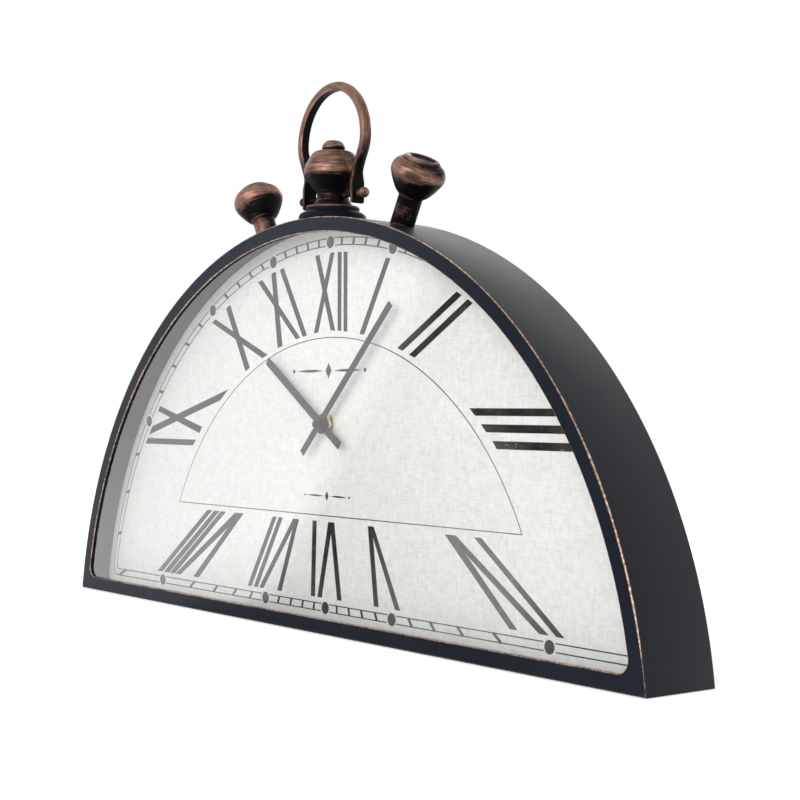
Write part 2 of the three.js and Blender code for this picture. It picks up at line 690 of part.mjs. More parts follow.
// The bow is a loft: a flat ear at each end fills out to a half-round strip with its flat side inwards.
function bowLoft() {
  const line = bowLine();
  const length = line.getLength();
  const flat = EAR_DROP + EAR_RISE;
  const corners = [];
  for (let i = 0; i <= BOW_RINGS; i++) {
    const at = i / BOW_RINGS;
    const along = Math.min(at, 1 - at) * length;
    const fill = THREE.MathUtils.smoothstep(along, flat - BOW_TURN / 2, flat + BOW_TURN / 2);
    const width = THREE.MathUtils.lerp(EAR_WIDTH, BOW_BAND, fill) / 2;
    const thick = THREE.MathUtils.lerp(EAR_THICKNESS, BOW_THICKNESS, fill);
    const power = THREE.MathUtils.lerp(EAR_POWER, BOW_POWER, fill);
    const middle = line.getPointAt(at);
    const tangent = line.getTangentAt(at);
    for (let k = 0; k <= BOW_FACETS; k++) {
      const turn = Math.PI * k / BOW_FACETS;
      const across = width * Math.cos(turn);
      const out = thick * (Math.sin(turn) ** power - 0.5);
      corners.push(middle.x - tangent.y * out, topLine + across, CASE_HEIGHT + middle.y + tangent.x * out);
    }
  }
  const around = BOW_FACETS + 1;
  const order = [];
  for (let i = 0; i < BOW_RINGS; i++) {
    for (let k = 0; k < around; k++) {
      const a = i * around + k;
      const b = i * around + (k + 1) % around;
      order.push(a, b, a + around, b, b + around, a + around);
    }
  }
  const last = BOW_RINGS * around;
  for (let k = 1; k < BOW_FACETS; k++) {
    order.push(0, k + 1, k, last, last + k, last + k + 1);
  }
  const geometry = new THREE.BufferGeometry();
  geometry.setAttribute('position', new THREE.Float32BufferAttribute(corners, 3));
  geometry.setIndex(order);
  return facingOut(geometry);
}

const bow = () => cut(bowLoft(), pinBore(BOW_WIDTH / 2));

const pinSeat = earPlace + EAR_THICKNESS / 2 + FIT;

function ballEnd(ball, from) {
  const centre = from + PIN_COLLAR + Math.sqrt(ball ** 2 - PIN_COLLAR_RADIUS ** 2);
  const start = Math.asin(Math.min(PIN_COLLAR_RADIUS / ball, 1));
  const arc = arcPoints(centre, 0, ball, Math.PI - start, 0, BALL_STEPS);
  const round = arc.map((point) => [point.y, point.x]);
  round[BALL_STEPS][0] = 0;
  return [[PIN_COLLAR_RADIUS, from], ...round];
}

function bowPin() {
  const tail = -pinSeat - PIN_COLLAR;
  const profile = [[0, tail], [PIN_RADIUS, tail], [PIN_RADIUS, pinSeat], ...ballEnd(PIN_BALL, pinSeat)];
  return lying(turned(profile, SMALL_SIDES));
}

function bowPinNut() {
  const bore = pinHole;
  const end = pinSeat + PIN_COLLAR + FIT;
  const profile = [[bore, pinSeat], ...ballEnd(NUT_BALL, pinSeat), [0, end], [bore, end], [bore, pinSeat]];
  return lying(turned(profile, SMALL_SIDES)).rotateZ(Math.PI);
}

function addCrown() {
  const pivot = new THREE.Vector3(0, topLine, CASE_HEIGHT + PIN_HEIGHT);
  add('crown_flange', DARK_BRONZE, crownFlange());
  add('crown_knob', BRONZE, crownKnob());
  add('crown_retainer', ZINC, onTop(retainer(CROWN_SPIGOT)));
  add('bow', BRONZE, bow());
  add('bow_pin', BRONZE, bowPin(), pivot);
  add('bow_pin_nut', BRONZE, bowPinNut(), pivot);
}

// Buttons

function buttonStem(side) {
  const place = buttonPlace(side);
  const stud = STEM_LENGTH + STEM_STUD_LENGTH;
  const shaft = turned([
    [0, -STEM_RADIUS], [STEM_RADIUS, -STEM_RADIUS], [STEM_RADIUS, STEM_LENGTH], [STEM_STUD, STEM_LENGTH],
    [STEM_STUD, stud], [0, stud],
  ]);
  const body = cut(leanOver(standing(shaft), place, side * BUTTON_LEAN), caseCurve());
  const spigot = rod(BUTTON_SPIGOT, -spigotDepth, STEM_RADIUS / 2);
  return joined(body, leanOver(standing(spigot), place, side * BUTTON_ANGLE));
}

function buttonHead(side) {
  const seat = STEM_LENGTH + FIT;
  const bore = STEM_STUD + FIT;
  const socket = STEM_LENGTH + STEM_STUD_LENGTH + FIT;
  const crest = seat + HEAD_LENGTH;
  const profile = [
    [bore, seat], [STEM_RADIUS, seat],
    ...smooth([
      [STEM_RADIUS + HEAD_LIP, seat + HEAD_LIP], [HEAD_RADIUS * 0.69, seat + HEAD_LENGTH * 0.17],
      [HEAD_RADIUS * 0.95, seat + HEAD_LENGTH * 0.48], [HEAD_RADIUS, seat + HEAD_LENGTH * 0.66],
      [HEAD_RADIUS * 0.9, seat + HEAD_LENGTH * 0.82], [HEAD_RING_RADIUS, crest - HEAD_RING_HEIGHT],
    ], 7),
    ...smooth([
      [(HEAD_RING_RADIUS + HEAD_DISH_RADIUS) / 2, crest], [HEAD_DISH_RADIUS, crest - HEAD_DISH * 0.7],
      [0, crest - HEAD_DISH],
    ], 3),
    [0, socket], [bore, socket], [bore, seat],
  ];
  return leanOver(standing(turned(profile)), buttonPlace(side), side * BUTTON_LEAN);
}

function addButtons() {
  for (const [side, name] of [[-1, 'left_button'], [1, 'right_button']]) {
    const ring = standing(retainer(BUTTON_SPIGOT));
    add(`${name}_stem`, BRONZE, buttonStem(side));
    add(`${name}_head`, BRONZE, buttonHead(side));
    add(`${name}_retainer`, ZINC, leanOver(ring, buttonPlace(side), side * BUTTON_ANGLE));
  }
}

// Hands and what clamps the movement to the dial

function handShape(length, tail, width, boss, bore) {
  const half = width / 2;
  const reach = Math.acos(half / boss);
  const shape = new THREE.Shape([
    new THREE.Vector2(half, -tail), ...arcPoints(0, 0, boss, -reach, reach, PIVOT_SIDES),
    new THREE.Vector2(half, length), new THREE.Vector2(-half, length),
    ...arcPoints(0, 0, boss, Math.PI - reach, Math.PI + reach, PIVOT_SIDES), new THREE.Vector2(-half, -tail),
  ]);
  shape.holes.push(circle(bore, SMALL_SIDES));
  return shape;
}

function addHands() {
  const hourShape = handShape(HOUR_LENGTH, HOUR_TAIL, HOUR_WIDTH, HOUR_BOSS, PIPE_RADIUS + FIT);
  const minuteShape = handShape(MINUTE_LENGTH, MINUTE_TAIL, MINUTE_WIDTH, MINUTE_BOSS, ARBOR_TIP + FIT);
  const hourHand = panel(hourShape, hourHandFront, hourHandBack);
  const minuteHand = panel(minuteShape, minuteHandFront, minuteHandBack);
  const hours = REST_HOUR + REST_MINUTE / 60;
  addOnArbor('hour_hand', HAND_BLACK, hourHand).rotation.y = hours / 12 * 2 * Math.PI;
  addOnArbor('minute_hand', HAND_BLACK, minuteHand).rotation.y = REST_MINUTE / 60 * 2 * Math.PI;
  const thread = ARBOR_TIP + FIT;
  addOnArbor('cap_nut', HAND_BLACK, turned([
    [thread, capBack], [CAP_RADIUS, capBack],
    ...smooth([
      [CAP_RADIUS, capBack - CAP_LENGTH * 0.4], [CAP_RADIUS * 0.75, capBack - CAP_LENGTH * 0.85],
      [0, capFront],
    ], 4),
    [0, arborFront - FIT], [thread, arborFront - FIT], [thread, capBack],
  ], SMALL_SIDES));
}

function addClamp() {
  const hexagon = new THREE.Shape(circle(NUT_ACROSS_FLATS / Math.sqrt(3), 6).getPoints());
  hexagon.holes.push(circle(BUSH_RADIUS + FIT, SMALL_SIDES));
  const collarBack = movementFront - FIT;
  const collarFront = collarBack - BUSH_COLLAR_THICKNESS;
  addOnArbor('centre_bush', BRASS, turned([
    [BUSH_BORE, bushFront], [BUSH_RADIUS, bushFront], [BUSH_RADIUS, collarFront],
    [BUSH_COLLAR, collarFront], [BUSH_COLLAR, collarBack], [BUSH_RADIUS, collarBack],
    [BUSH_RADIUS, movementInside], [BUSH_BORE, movementInside], [BUSH_BORE, bushFront],
  ], SMALL_SIDES));
  addOnArbor('hex_nut', BRASS, panel(hexagon, nutFront, nutBack));
  addOnArbor('dial_washer', BRASS, tube(WASHER_RADIUS, BUSH_RADIUS + FIT, washerFront, washerBack));
  addOnArbor('rubber_washer', RUBBER, tube(RUBBER_RADIUS, BUSH_COLLAR + FIT, rubberFront, rubberBack));
}

// Movement

const at = (geometry, arbor) => geometry.translate(arbor.x, 0, arbor.y);

function movementCase() {
  const outline = roundedBox(-movementHalf, movementFoot, movementHalf, movementTop, MOVEMENT_CORNER);
  const shell = panel(new THREE.Shape(outline), movementFront, movementBack);
  const bay = (foot, top) => panel(
    new THREE.Shape(box(-bayHalf, foot, bayHalf, top)), movementInside, movementBack + OVERCUT,
  );
  const gearBay = bay(-GEAR_BAY_DROP, GEAR_BAY_RISE);
  const batteryBay = bay(batteryFoot, batteryTop);
  const bushHole = rod(BUSH_RADIUS + FIT, movementFront - OVERCUT, movementInside + OVERCUT);
  const pivots = [intermediateArbor, settingArbor].map((arbor) => (
    at(rod(pivotHole, movementInside - PIVOT_DEPTH, movementInside + OVERCUT, PIVOT_SIDES), arbor)
  ));
  return cut(shell, gearBay, batteryBay, bushHole, ...pivots);
}

function movementPlate() {
  const side = bayHalf - FIT;
  const shape = new THREE.Shape(box(-side, FIT - GEAR_BAY_DROP, side, PLATE_TOP));
  for (const arbor of [intermediateArbor, thirdArbor, fifthArbor, rotorArbor]) {
    shape.holes.push(circle(pivotHole, PIVOT_SIDES, arbor));
  }
  shape.holes.push(circle(ARBOR_TIP + FIT, SMALL_SIDES));
  shape.holes.push(circle(SETTING_SHAFT + FIT, SMALL_SIDES, settingArbor));
  return panel(shape, plateFront, plateBack);
}

function movementCover() {
  const side = bayHalf - FIT;
  const outline = box(-side, FIT - GEAR_BAY_DROP, side, GEAR_BAY_RISE - FIT);
  const plate = panel(new THREE.Shape(outline), coverFront, movementBack);
  const pivots = [dialArbor, thirdArbor, fifthArbor, rotorArbor].map((arbor) => (
    at(rod(pivotHole, coverFront - OVERCUT, coverFront + PIVOT_DEPTH, PIVOT_SIDES), arbor)
  ));
  const shaftHole = at(rod(SETTING_SHAFT + FIT, coverFront - OVERCUT, movementBack + OVERCUT), settingArbor);
  return cut(plate, ...pivots, shaftHole);
}

// Wheels

// Wheels have the pointed teeth of clock wheels, and pinions have flat-topped leaves.
const WHEEL_TOOTH = [[-DEDENDUM, -TOOTH_ROOT], [ADDENDUM, 0], [-DEDENDUM, TOOTH_ROOT]];
const PINION_LEAF = [
  [-DEDENDUM, -LEAF_ROOT], [ADDENDUM, -LEAF_TIP], [ADDENDUM, LEAF_TIP], [-DEDENDUM, LEAF_ROOT],
];

// A gear with one of its teeth centred on the angle given.
function gearShape(tooth, teeth, module, angle, bore = 0) {
  const pitch = 2 * Math.PI / teeth;
  const points = [];
  for (let i = 0; i < teeth; i++) {
    for (const [height, share] of tooth) {
      const radius = module * (teeth / 2 + height);
      const turn = angle + pitch * (i + share);
      points.push(new THREE.Vector2(radius * Math.cos(turn), radius * Math.sin(turn)));
    }
  }
  const shape = new THREE.Shape(points);
  if (bore > 0) {
    shape.holes.push(circle(bore, SMALL_SIDES));
  }
  return shape;
}

const moduleFor = (distance, wheel, pinion) => 2 * distance / (wheel + pinion);
const bearing = (from, to) => Math.atan2(to.y - from.y, to.x - from.x);

// Tooth angle of a mate that puts one of its gaps over a tooth of the wheel it meets.
function mateAngle(angle, teeth, mateTeeth, direction) {
  return direction + Math.PI - (angle - direction) * teeth / mateTeeth + Math.PI / mateTeeth;
}

const level = (shape, front) => panel(shape, front, front + WHEEL_THICKNESS);
const pivotRod = (from, to) => rod(PIVOT_RADIUS, from, to, PIVOT_SIDES);
const pivotFront = movementInside - PIVOT_DEPTH + FIT; // pivots in the front wall
const pivotBack = coverFront + PIVOT_DEPTH - FIT; // pivots in the cover

function addMotionWork() {
  const motionModule = moduleFor(MOTION_DISTANCE, INTERMEDIATE_TEETH, CANNON_TEETH);
  const hourModule = moduleFor(MOTION_DISTANCE, HOUR_TEETH, INTERMEDIATE_PINION);
  const toCentre = bearing(intermediateArbor, dialArbor);
  const toSetting = bearing(intermediateArbor, settingArbor);
  const cannonAngle = mateAngle(toCentre, INTERMEDIATE_TEETH, CANNON_TEETH, toCentre);
  const settingAngle = mateAngle(toCentre, INTERMEDIATE_TEETH, CANNON_TEETH, toSetting);
  const hourAngle = bearing(dialArbor, intermediateArbor);
  const pinionAngle = mateAngle(hourAngle, HOUR_TEETH, INTERMEDIATE_PINION, hourAngle);

  const arborBack = centreLevel + WHEEL_THICKNESS + FIT;
  const arborHole = arborBack - PIVOT_DEPTH;
  const motionMiddle = motionLevel + WHEEL_THICKNESS / 2;
  addOnArbor('minute_arbor', ZINC, joined(
    level(gearShape(PINION_LEAF, CANNON_TEETH, motionModule, cannonAngle), motionLevel),
    turned([
      [0, arborFront], [ARBOR_TIP, arborFront], [ARBOR_TIP, minuteHandBack], [ARBOR_RADIUS, minuteHandBack],
      [ARBOR_RADIUS, motionMiddle], [ARBOR_TIP, motionMiddle], [ARBOR_TIP, arborBack],
      [pivotHole, arborBack], [pivotHole, arborHole], [0, arborHole],
    ], SMALL_SIDES),
  ));
  addOnArbor('hour_wheel', BRASS, joined(
    level(gearShape(WHEEL_TOOTH, HOUR_TEETH, hourModule, hourAngle, PIPE_BORE), hourLevel),
    tube(PIPE_RADIUS, PIPE_BORE, pipeFront, hourLevel + WHEEL_THICKNESS),
  ));
  addOnArbor('intermediate_wheel', WHITE_PLASTIC, joined(
    level(gearShape(WHEEL_TOOTH, INTERMEDIATE_TEETH, motionModule, toCentre), motionLevel),
    panel(gearShape(PINION_LEAF, INTERMEDIATE_PINION, hourModule, pinionAngle), hourLevel, motionMiddle),
    pivotRod(pivotFront, plateFront + PLATE_THICKNESS / 2),
  ), intermediateArbor);

  const shaftEnd = movementBack + FIT + SETTING_KNOB_LENGTH / 2;
  addOnArbor('setting_wheel', WHITE_PLASTIC, joined(
    level(gearShape(PINION_LEAF, CANNON_TEETH, motionModule, settingAngle), motionLevel),
    rod(SETTING_SHAFT, motionMiddle, shaftEnd),
    pivotRod(pivotFront, motionMiddle),
  ), settingArbor);
  const flutes = Array.from({ length: 2 * SETTING_KNOB_FLUTES }, (_, i) => {
    const radius = SETTING_KNOB_RADIUS - (i % 2) * SETTING_KNOB_FLUTE_DEPTH;
    return new THREE.Vector2(radius, 0).rotateAround(dialArbor, Math.PI * i / SETTING_KNOB_FLUTES);
  });
  const knobFront = movementBack + FIT;
  const knobBore = rod(SETTING_SHAFT + FIT, knobFront - OVERCUT, shaftEnd + FIT);
  const knob = panel(new THREE.Shape(flutes), knobFront, knobFront + SETTING_KNOB_LENGTH);
  addOnArbor('setting_knob', WHITE_PLASTIC, cut(knob, knobBore), settingArbor);
}

function addGoingTrain() {
  const centreModule = moduleFor(TRAIN_DISTANCE, CENTRE_TEETH, TRAIN_PINION);
  const thirdModule = moduleFor(TRAIN_DISTANCE, THIRD_TEETH, TRAIN_PINION);
  const secondModule = moduleFor(TRAIN_DISTANCE, SECOND_TEETH, TRAIN_PINION);
  const fifthModule = moduleFor(ROTOR_DISTANCE, FIFTH_TEETH, TRAIN_PINION);
  // Each wheel has a tooth, and each pinion a gap, on the line to its mate.
  const wheelTo = (teeth, module, from, to, bore = 0) => (
    gearShape(WHEEL_TOOTH, teeth, module, bearing(from, to), bore)
  );
  const pinionAt = (teeth, module, wheel, pinion) => {
    const direction = bearing(wheel, pinion);
    const angle = mateAngle(direction, teeth, TRAIN_PINION, direction);
    return gearShape(PINION_LEAF, TRAIN_PINION, module, angle);
  };
  const centre = wheelTo(CENTRE_TEETH, centreModule, dialArbor, thirdArbor, ARBOR_TIP + FIT);
  const third = wheelTo(THIRD_TEETH, thirdModule, thirdArbor, dialArbor);
  const second = wheelTo(SECOND_TEETH, secondModule, dialArbor, fifthArbor);
  const fifth = wheelTo(FIFTH_TEETH, fifthModule, fifthArbor, rotorArbor);
  const thirdPinion = pinionAt(CENTRE_TEETH, centreModule, dialArbor, thirdArbor);
  const secondPinion = pinionAt(THIRD_TEETH, thirdModule, thirdArbor, dialArbor);
  const fifthPinion = pinionAt(SECOND_TEETH, secondModule, dialArbor, fifthArbor);
  const rotorPinion = pinionAt(FIFTH_TEETH, fifthModule, fifthArbor, rotorArbor);
  const magnet = new THREE.Shape(circle(MAGNET_RADIUS, SMALL_SIDES).getPoints());

  const inPlate = plateFront + PLATE_THICKNESS / 4;
  const inArbor = thirdLevel - WHEEL_SPACING;
  const arborWith = (wheel, wheelLevel, pinion, pinionLevel, foot = inPlate) => joined(
    level(wheel, wheelLevel), level(pinion, pinionLevel), pivotRod(foot, pivotBack),
  );
  const thirdPiece = arborWith(third, thirdLevel, thirdPinion, centreLevel);
  const secondPiece = arborWith(second, secondLevel, secondPinion, thirdLevel, inArbor);
  const fifthPiece = arborWith(fifth, fifthLevel, fifthPinion, secondLevel);
  const rotorPiece = arborWith(magnet, centreLevel, rotorPinion, fifthLevel);
  addOnArbor('centre_wheel', WHITE_PLASTIC, level(centre, centreLevel));
  addOnArbor('third_wheel', WHITE_PLASTIC, thirdPiece, thirdArbor);
  addOnArbor('second_wheel', WHITE_PLASTIC, secondPiece);
  addOnArbor('fifth_wheel', WHITE_PLASTIC, fifthPiece, fifthArbor);
  addOnArbor('rotor', MAGNET, rotorPiece, rotorArbor);
}

// Motor, circuit and battery

const statorLeft = STATOR_SIDE_MARGIN - bayHalf;
const statorRight = statorLeft + STATOR_WIDTH;
const statorTop = GEAR_BAY_RISE - STATOR_TOP_MARGIN;

// The stator is a closed loop of sheet iron: the coil sits on its top bar, the rotor in its lower left.
function stator() {
  const innerLeft = statorLeft + STATOR_BAR;
  const innerTop = statorTop - STATOR_BAR;
  const bottom = STATOR_FOOT_MARGIN - GEAR_BAY_DROP;
  const hole = MAGNET_RADIUS + MAGNET_GAP;
  const padRight = rotorArbor.x + hole + STATOR_WEB;
  const padTop = rotorArbor.y + hole + STATOR_WEB;
  const returnTop = STATOR_RETURN + STATOR_RETURN_BAR;
  const neck = padRight - STATOR_RETURN_BAR;
  const points = (list) => list.map(([x, z]) => new THREE.Vector2(x, z));
  const shape = new THREE.Shape(points([
    [statorLeft, bottom], [padRight, bottom], [padRight, STATOR_RETURN],
    [statorRight, STATOR_RETURN], [statorRight, statorTop], [statorLeft, statorTop],
  ]));
  shape.holes.push(new THREE.Path(points([
    [innerLeft, padTop], [neck, padTop], [neck, returnTop], [statorRight - STATOR_BAR, returnTop],
    [statorRight - STATOR_BAR, innerTop], [innerLeft, innerTop],
  ])));
  shape.holes.push(circle(hole, SMALL_SIDES, rotorArbor));
  return level(shape, centreLevel);
}

// The winding is a sleeve round the stator's top bar.
function coil() {
  const bore = [STATOR_BAR / 2 + FIT, WHEEL_THICKNESS / 2 + FIT];
  const skin = bore.map((size) => size + COIL_WINDING);
  const shape = new THREE.Shape(roundedBox(-skin[0], -skin[1], skin[0], skin[1], COIL_CORNER));
  shape.holes.push(new THREE.Path(box(-bore[0], -bore[1], bore[0], bore[1])));
  const sleeve = new THREE.ExtrudeGeometry(shape, { depth: COIL_LENGTH, bevelEnabled: false });
  const start = statorLeft + (STATOR_WIDTH - COIL_LENGTH) / 2;
  const coreLevel = centreLevel + WHEEL_THICKNESS / 2;
  return sleeve.rotateY(Math.PI / 2).translate(start, coreLevel, statorTop - STATOR_BAR / 2);
}

function battery() {
  const reach = BATTERY_LENGTH / 2;
  const shoulder = reach - BATTERY_NUB;
  const edge = BATTERY_RADIUS - BATTERY_ROUND;
  return lying(turned([
    [0, -reach], [edge, -reach], [BATTERY_RADIUS, -reach + BATTERY_ROUND],
    [BATTERY_RADIUS, shoulder - BATTERY_ROUND], [edge, shoulder], [BATTERY_NUB_RADIUS, shoulder],
    [BATTERY_NUB_RADIUS, reach], [0, reach],
  ], SMALL_SIDES));
}

// A leaf contact: its two feet lie on the bay's end wall and its crest faces the battery.
function contact(side) {
  const wall = bayHalf - FIT;
  const crest = BATTERY_LENGTH / 2 + FIT;
  const foot = CONTACT_HEIGHT / 2;
  const shape = new THREE.Shape([
    new THREE.Vector2(side * wall, -foot), new THREE.Vector2(side * (crest + CONTACT_SHEET), 0),
    new THREE.Vector2(side * wall, foot), new THREE.Vector2(side * (wall - CONTACT_SHEET), foot),
    new THREE.Vector2(side * crest, 0), new THREE.Vector2(side * (wall - CONTACT_SHEET), -foot),
  ]);
  const middle = movementInside + FIT + BATTERY_RADIUS;
  return panel(shape, middle - CONTACT_WIDTH / 2, middle + CONTACT_WIDTH / 2);
}

function addMovement() {
  addOnArbor('movement_case', BLACK_PLASTIC, movementCase());
  addOnArbor('movement_cover', BLACK_PLASTIC, movementCover());
  addOnArbor('movement_plate', BRASS, movementPlate());
  addMotionWork();
  addGoingTrain();
  addOnArbor('stator', ZINC, stator());
  addOnArbor('coil', COPPER, coil());
  const edge = bayHalf - FIT;
  const top = GEAR_BAY_RISE - FIT;
  const circuitBack = coverFront - FIT;
  const circuitFront = circuitBack - CIRCUIT_THICKNESS;
  const sheet = new THREE.Shape(box(edge - CIRCUIT_WIDTH, top - CIRCUIT_HEIGHT, edge, top));
  addOnArbor('circuit_board', CIRCUIT, panel(sheet, circuitFront, circuitBack));
  const crystal = lying(rod(CRYSTAL_RADIUS, -CRYSTAL_LENGTH / 2, CRYSTAL_LENGTH / 2));
  const crystalLevel = circuitFront - FIT - CRYSTAL_RADIUS;
  crystal.translate(edge - CIRCUIT_WIDTH / 2, crystalLevel, top - CIRCUIT_HEIGHT / 2);
  addOnArbor('quartz_crystal', ZINC, crystal);
  const lower = new THREE.Vector2(0, batteryAxis);
  addOnArbor('battery', CELL, battery().translate(0, movementInside + FIT + BATTERY_RADIUS, 0), lower);
  addOnArbor('contact_positive', BRASS, contact(1), lower);
  addOnArbor('contact_negative', BRASS, contact(-1), lower);
}

addCase();
addDial();
addCrown();
addButtons();
addHands();
addClamp();
addMovement();

export default clock;
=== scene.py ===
"""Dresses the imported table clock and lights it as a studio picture.

The frame is in metres. The sizes below are in millimetres, as in the part's source.
"""
from itertools import accumulate, groupby
from math import asin, atan2, cos, dist, hypot, pi, radians, sin, sqrt

import bmesh
import bpy
from mathutils import Matrix, Vector


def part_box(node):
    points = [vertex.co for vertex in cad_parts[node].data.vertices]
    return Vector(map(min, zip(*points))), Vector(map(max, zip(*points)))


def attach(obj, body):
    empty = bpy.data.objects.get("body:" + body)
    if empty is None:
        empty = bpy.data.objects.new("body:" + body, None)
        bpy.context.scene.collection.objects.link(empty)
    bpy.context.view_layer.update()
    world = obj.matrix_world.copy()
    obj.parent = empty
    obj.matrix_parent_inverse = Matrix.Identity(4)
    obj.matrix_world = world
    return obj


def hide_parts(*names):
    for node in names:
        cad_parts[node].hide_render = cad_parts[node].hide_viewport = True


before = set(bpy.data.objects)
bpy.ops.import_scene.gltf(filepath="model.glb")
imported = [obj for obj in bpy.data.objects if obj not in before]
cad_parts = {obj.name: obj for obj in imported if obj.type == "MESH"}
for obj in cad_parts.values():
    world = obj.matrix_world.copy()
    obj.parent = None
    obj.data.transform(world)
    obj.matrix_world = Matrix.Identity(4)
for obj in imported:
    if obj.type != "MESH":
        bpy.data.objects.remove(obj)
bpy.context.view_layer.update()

MM = 0.001
SHARP_EDGE = 35 # degrees past which shading breaks at an edge
SOFT_EDGE = 50
SMALL_SIDES = 48

# Case
CASE_WIDTH = 480
CASE_HEIGHT = 212.5
CASE_FRONT = -21
CASE_REAR = 21
SHEET = 1.2
BEZEL_WIDTH = 7.8
BEZEL_CORNER = 6
BEZEL_BACK = CASE_FRONT + SHEET
CASE_RADIUS = (CASE_WIDTH ** 2 / 4 + CASE_HEIGHT ** 2) / (2 * CASE_HEIGHT)
ARC_CENTRE = CASE_HEIGHT - CASE_RADIUS
EDGE_ROUND = 0.65
RIM_ROUND = 0.35
ARC_STEPS = 240
CORNER_STEPS = 17
FLOOR_STEPS = 96

# Wear of the bezel's outer edge: along its foot, from its corners up, and fading towards the top
FOOT_WEAR = 0.55
CORNER_WEAR = 0.6
CORNER_REACH = 4
WEAR_RISE = 75
SIDE_WEAR = 1.3
WEAR_FADE = 0.35

# Lining between the glass and the dial
LINING_INSET = 2.45
LINING_FOOT = 1.5
LINING_WALL = 0.85
LINING_FRONT = -17.2
LINING_BACK = -4.5

# Screws of the back panel
SCREW_HEAD_HEIGHT = 1.2
SCREW_RADIUS = 1.4
SCREW_TIP_RADIUS = 0.9
SCREW_TAPER = 0.7
RECESS_ARM = 0.55 # share of the head's radius
RECESS_HALF = 0.32
RECESS_DEPTH = 0.6

# Dial print, raised just enough to show
PAPER_FRONT = -4.2
PRINT_SUNK = 0.05
PRINT_RAISED = 0.03
DIAL_CENTRE = 106
TRACK_LINE = 0.58
TRACK_OUTER = (232.6, 8.3, 6) # radius, height of the foot and radius of the corners
TRACK_INNER = (228.7, 12.2, 2.5)
TRACK_SPREAD = 1.004 # stretch in x, and that of the ticks' directions below
TRACK_STEPS = 900
TICK_WIDTH = 1.7
TICK_SPREAD = 1.014
BARE_MINUTE = 19 # the one without a tick, besides the hours
DOT_RADIUS = 3.2
DOT_HALO = 4.0
DOTS = [(0, 201.3), (53, 194.4), (115.2, 170.6), (187.3, 105.8), (167.8, 10.2), (56, 10.2), (0, 10.2)]
PLATE_HALF = 149.4
PLATE_FOOT = 58.2
PLATE_TOP = 151.4
PLATE_LINE = 0.5
PALE_PLACE = (110, 38) # the print turns pale grey towards here
PALE_NEAR = 30
PALE_FAR = 75
ORNAMENTS = [(134, 1.0), (68.5, 0.62)] # height and scale
ORNAMENT_STEPS = 24
DIAMOND_RISE = 4.2
DIAMOND_REACH = 2.6
LEAF_PLACE = 16.5
LEAF_LENGTH = 24
LEAF_HEIGHT = 1.5
BEAD_PLACE = 31.5
BEAD_RADIUS = 1.1

# Strokes of the numerals, as x and z of their corners
BARS = {
    "XII": [[(6.6, 195.7), (10.1, 195.4), (10.7, 154.3), (7.5, 154.7)],
            [(11.8, 195.4), (15.2, 195.1), (15.9, 153.8), (12.7, 154.3)]],
    "I": [[(47.4, 189.7), (51.2, 189.2), (30.4, 151.9), (26.3, 152.3)]],
    "II": [[(102.1, 169.9), (105.8, 167.9), (61.9, 142.8), (57.5, 144.3)],
           [(110.1, 165.8), (113.8, 163.8), (71.2, 139.2), (66.9, 140.8)]],
    "XI": [[(-46.7, 189.8), (-42.8, 190.6), (-20.0, 153.1), (-24.1, 152.5)]],
}
# Strokes with level ends, as the heights of the top and the foot and then x of the corners in turn
LEVEL_BARS = {
    "III": [(114.8, 111.3, 112.2, 173.4, 175.9, 116.5), (107.4, 103.7, 120.6, 179.1, 181.6, 124.4),
            (99.8, 96.1, 128.6, 184.4, 186.9, 131.8)],
    "IV": [(54.9, 15.1, 116.7, 122.0, 177.2, 172.0)],
    "VI": [(55.1, 15.2, -12.5, -8.7, -9.3, -13.1)],
    "VII": [(55.0, 15.1, -50.1, -46.2, -70.2, -74.2), (55.0, 15.1, -44.2, -40.3, -64.0, -67.9)],
    "VIII": [(55.0, 15.0, -117.9, -112.5, -168.4, -174.2), (55.0, 15.0, -110.3, -104.7, -160.6, -166.7),
             (55.0, 15.0, -103.3, -97.7, -153.8, -159.6)],
    "IX": [(95.5, 92.0, -188.8, -131.7, -135.2, -191.5)],
}
# V with its point up, as the heights of the top, the feet and the notch and then x of the corners in turn
VEES = {
    "IV": (54.9, 15.2, 46.6, 95.6, 103.7, 167.5, 161.2, 111.2, 147.2, 141.9),
    "V": (55.1, 15.2, 49.4, 35.6, 40.5, 62.8, 58.6, 40.1, 45.4, 41.5),
    "VI": (55.1, 15.2, 49.1, 1.6, 6.9, 14.3, 10.4, 4.2, -3.2, -7.1),
    "VII": (55.0, 15.1, 49.4, -30.6, -25.0, -40.6, -44.7, -30.9, -58.3, -62.5),
    "VIII": (55.0, 15.0, 46.3, -88.2, -79.4, -126.5, -132.5, -95.2, -147.1, -153.1),
}
# Corners of two crossing strokes, as x and z, the one that starts further left first
CROSSES = {
    "XII": [[(-13.5, 195.1), (-9.7, 195.4), (5.4, 154.7), (1.3, 155.1)],
            [(0.2, 195.7), (3.8, 195.7), (-9.7, 154.4), (-13.8, 153.9)]],
    "XI": [[(-68.0, 184.3), (-64.0, 185.4), (-26.2, 152.1), (-30.3, 151.3)],
           [(-54.9, 188.2), (-50.6, 189.2), (-43.0, 148.0), (-47.7, 147.2)]],
    "X": [[(-115.9, 163.7), (-112.2, 165.5), (-57.5, 143.7), (-62.5, 141.9)],
          [(-100.8, 171.1), (-96.6, 173.2), (-75.1, 136.8), (-79.5, 134.8)]],
    "IX": [[(-187.2, 97.6), (-183.3, 102.7), (-97.0, 125.0), (-105.5, 118.7)],
           [(-176.6, 112.1), (-174.3, 115.2), (-125.2, 103.1), (-128.2, 99.4)]],
}

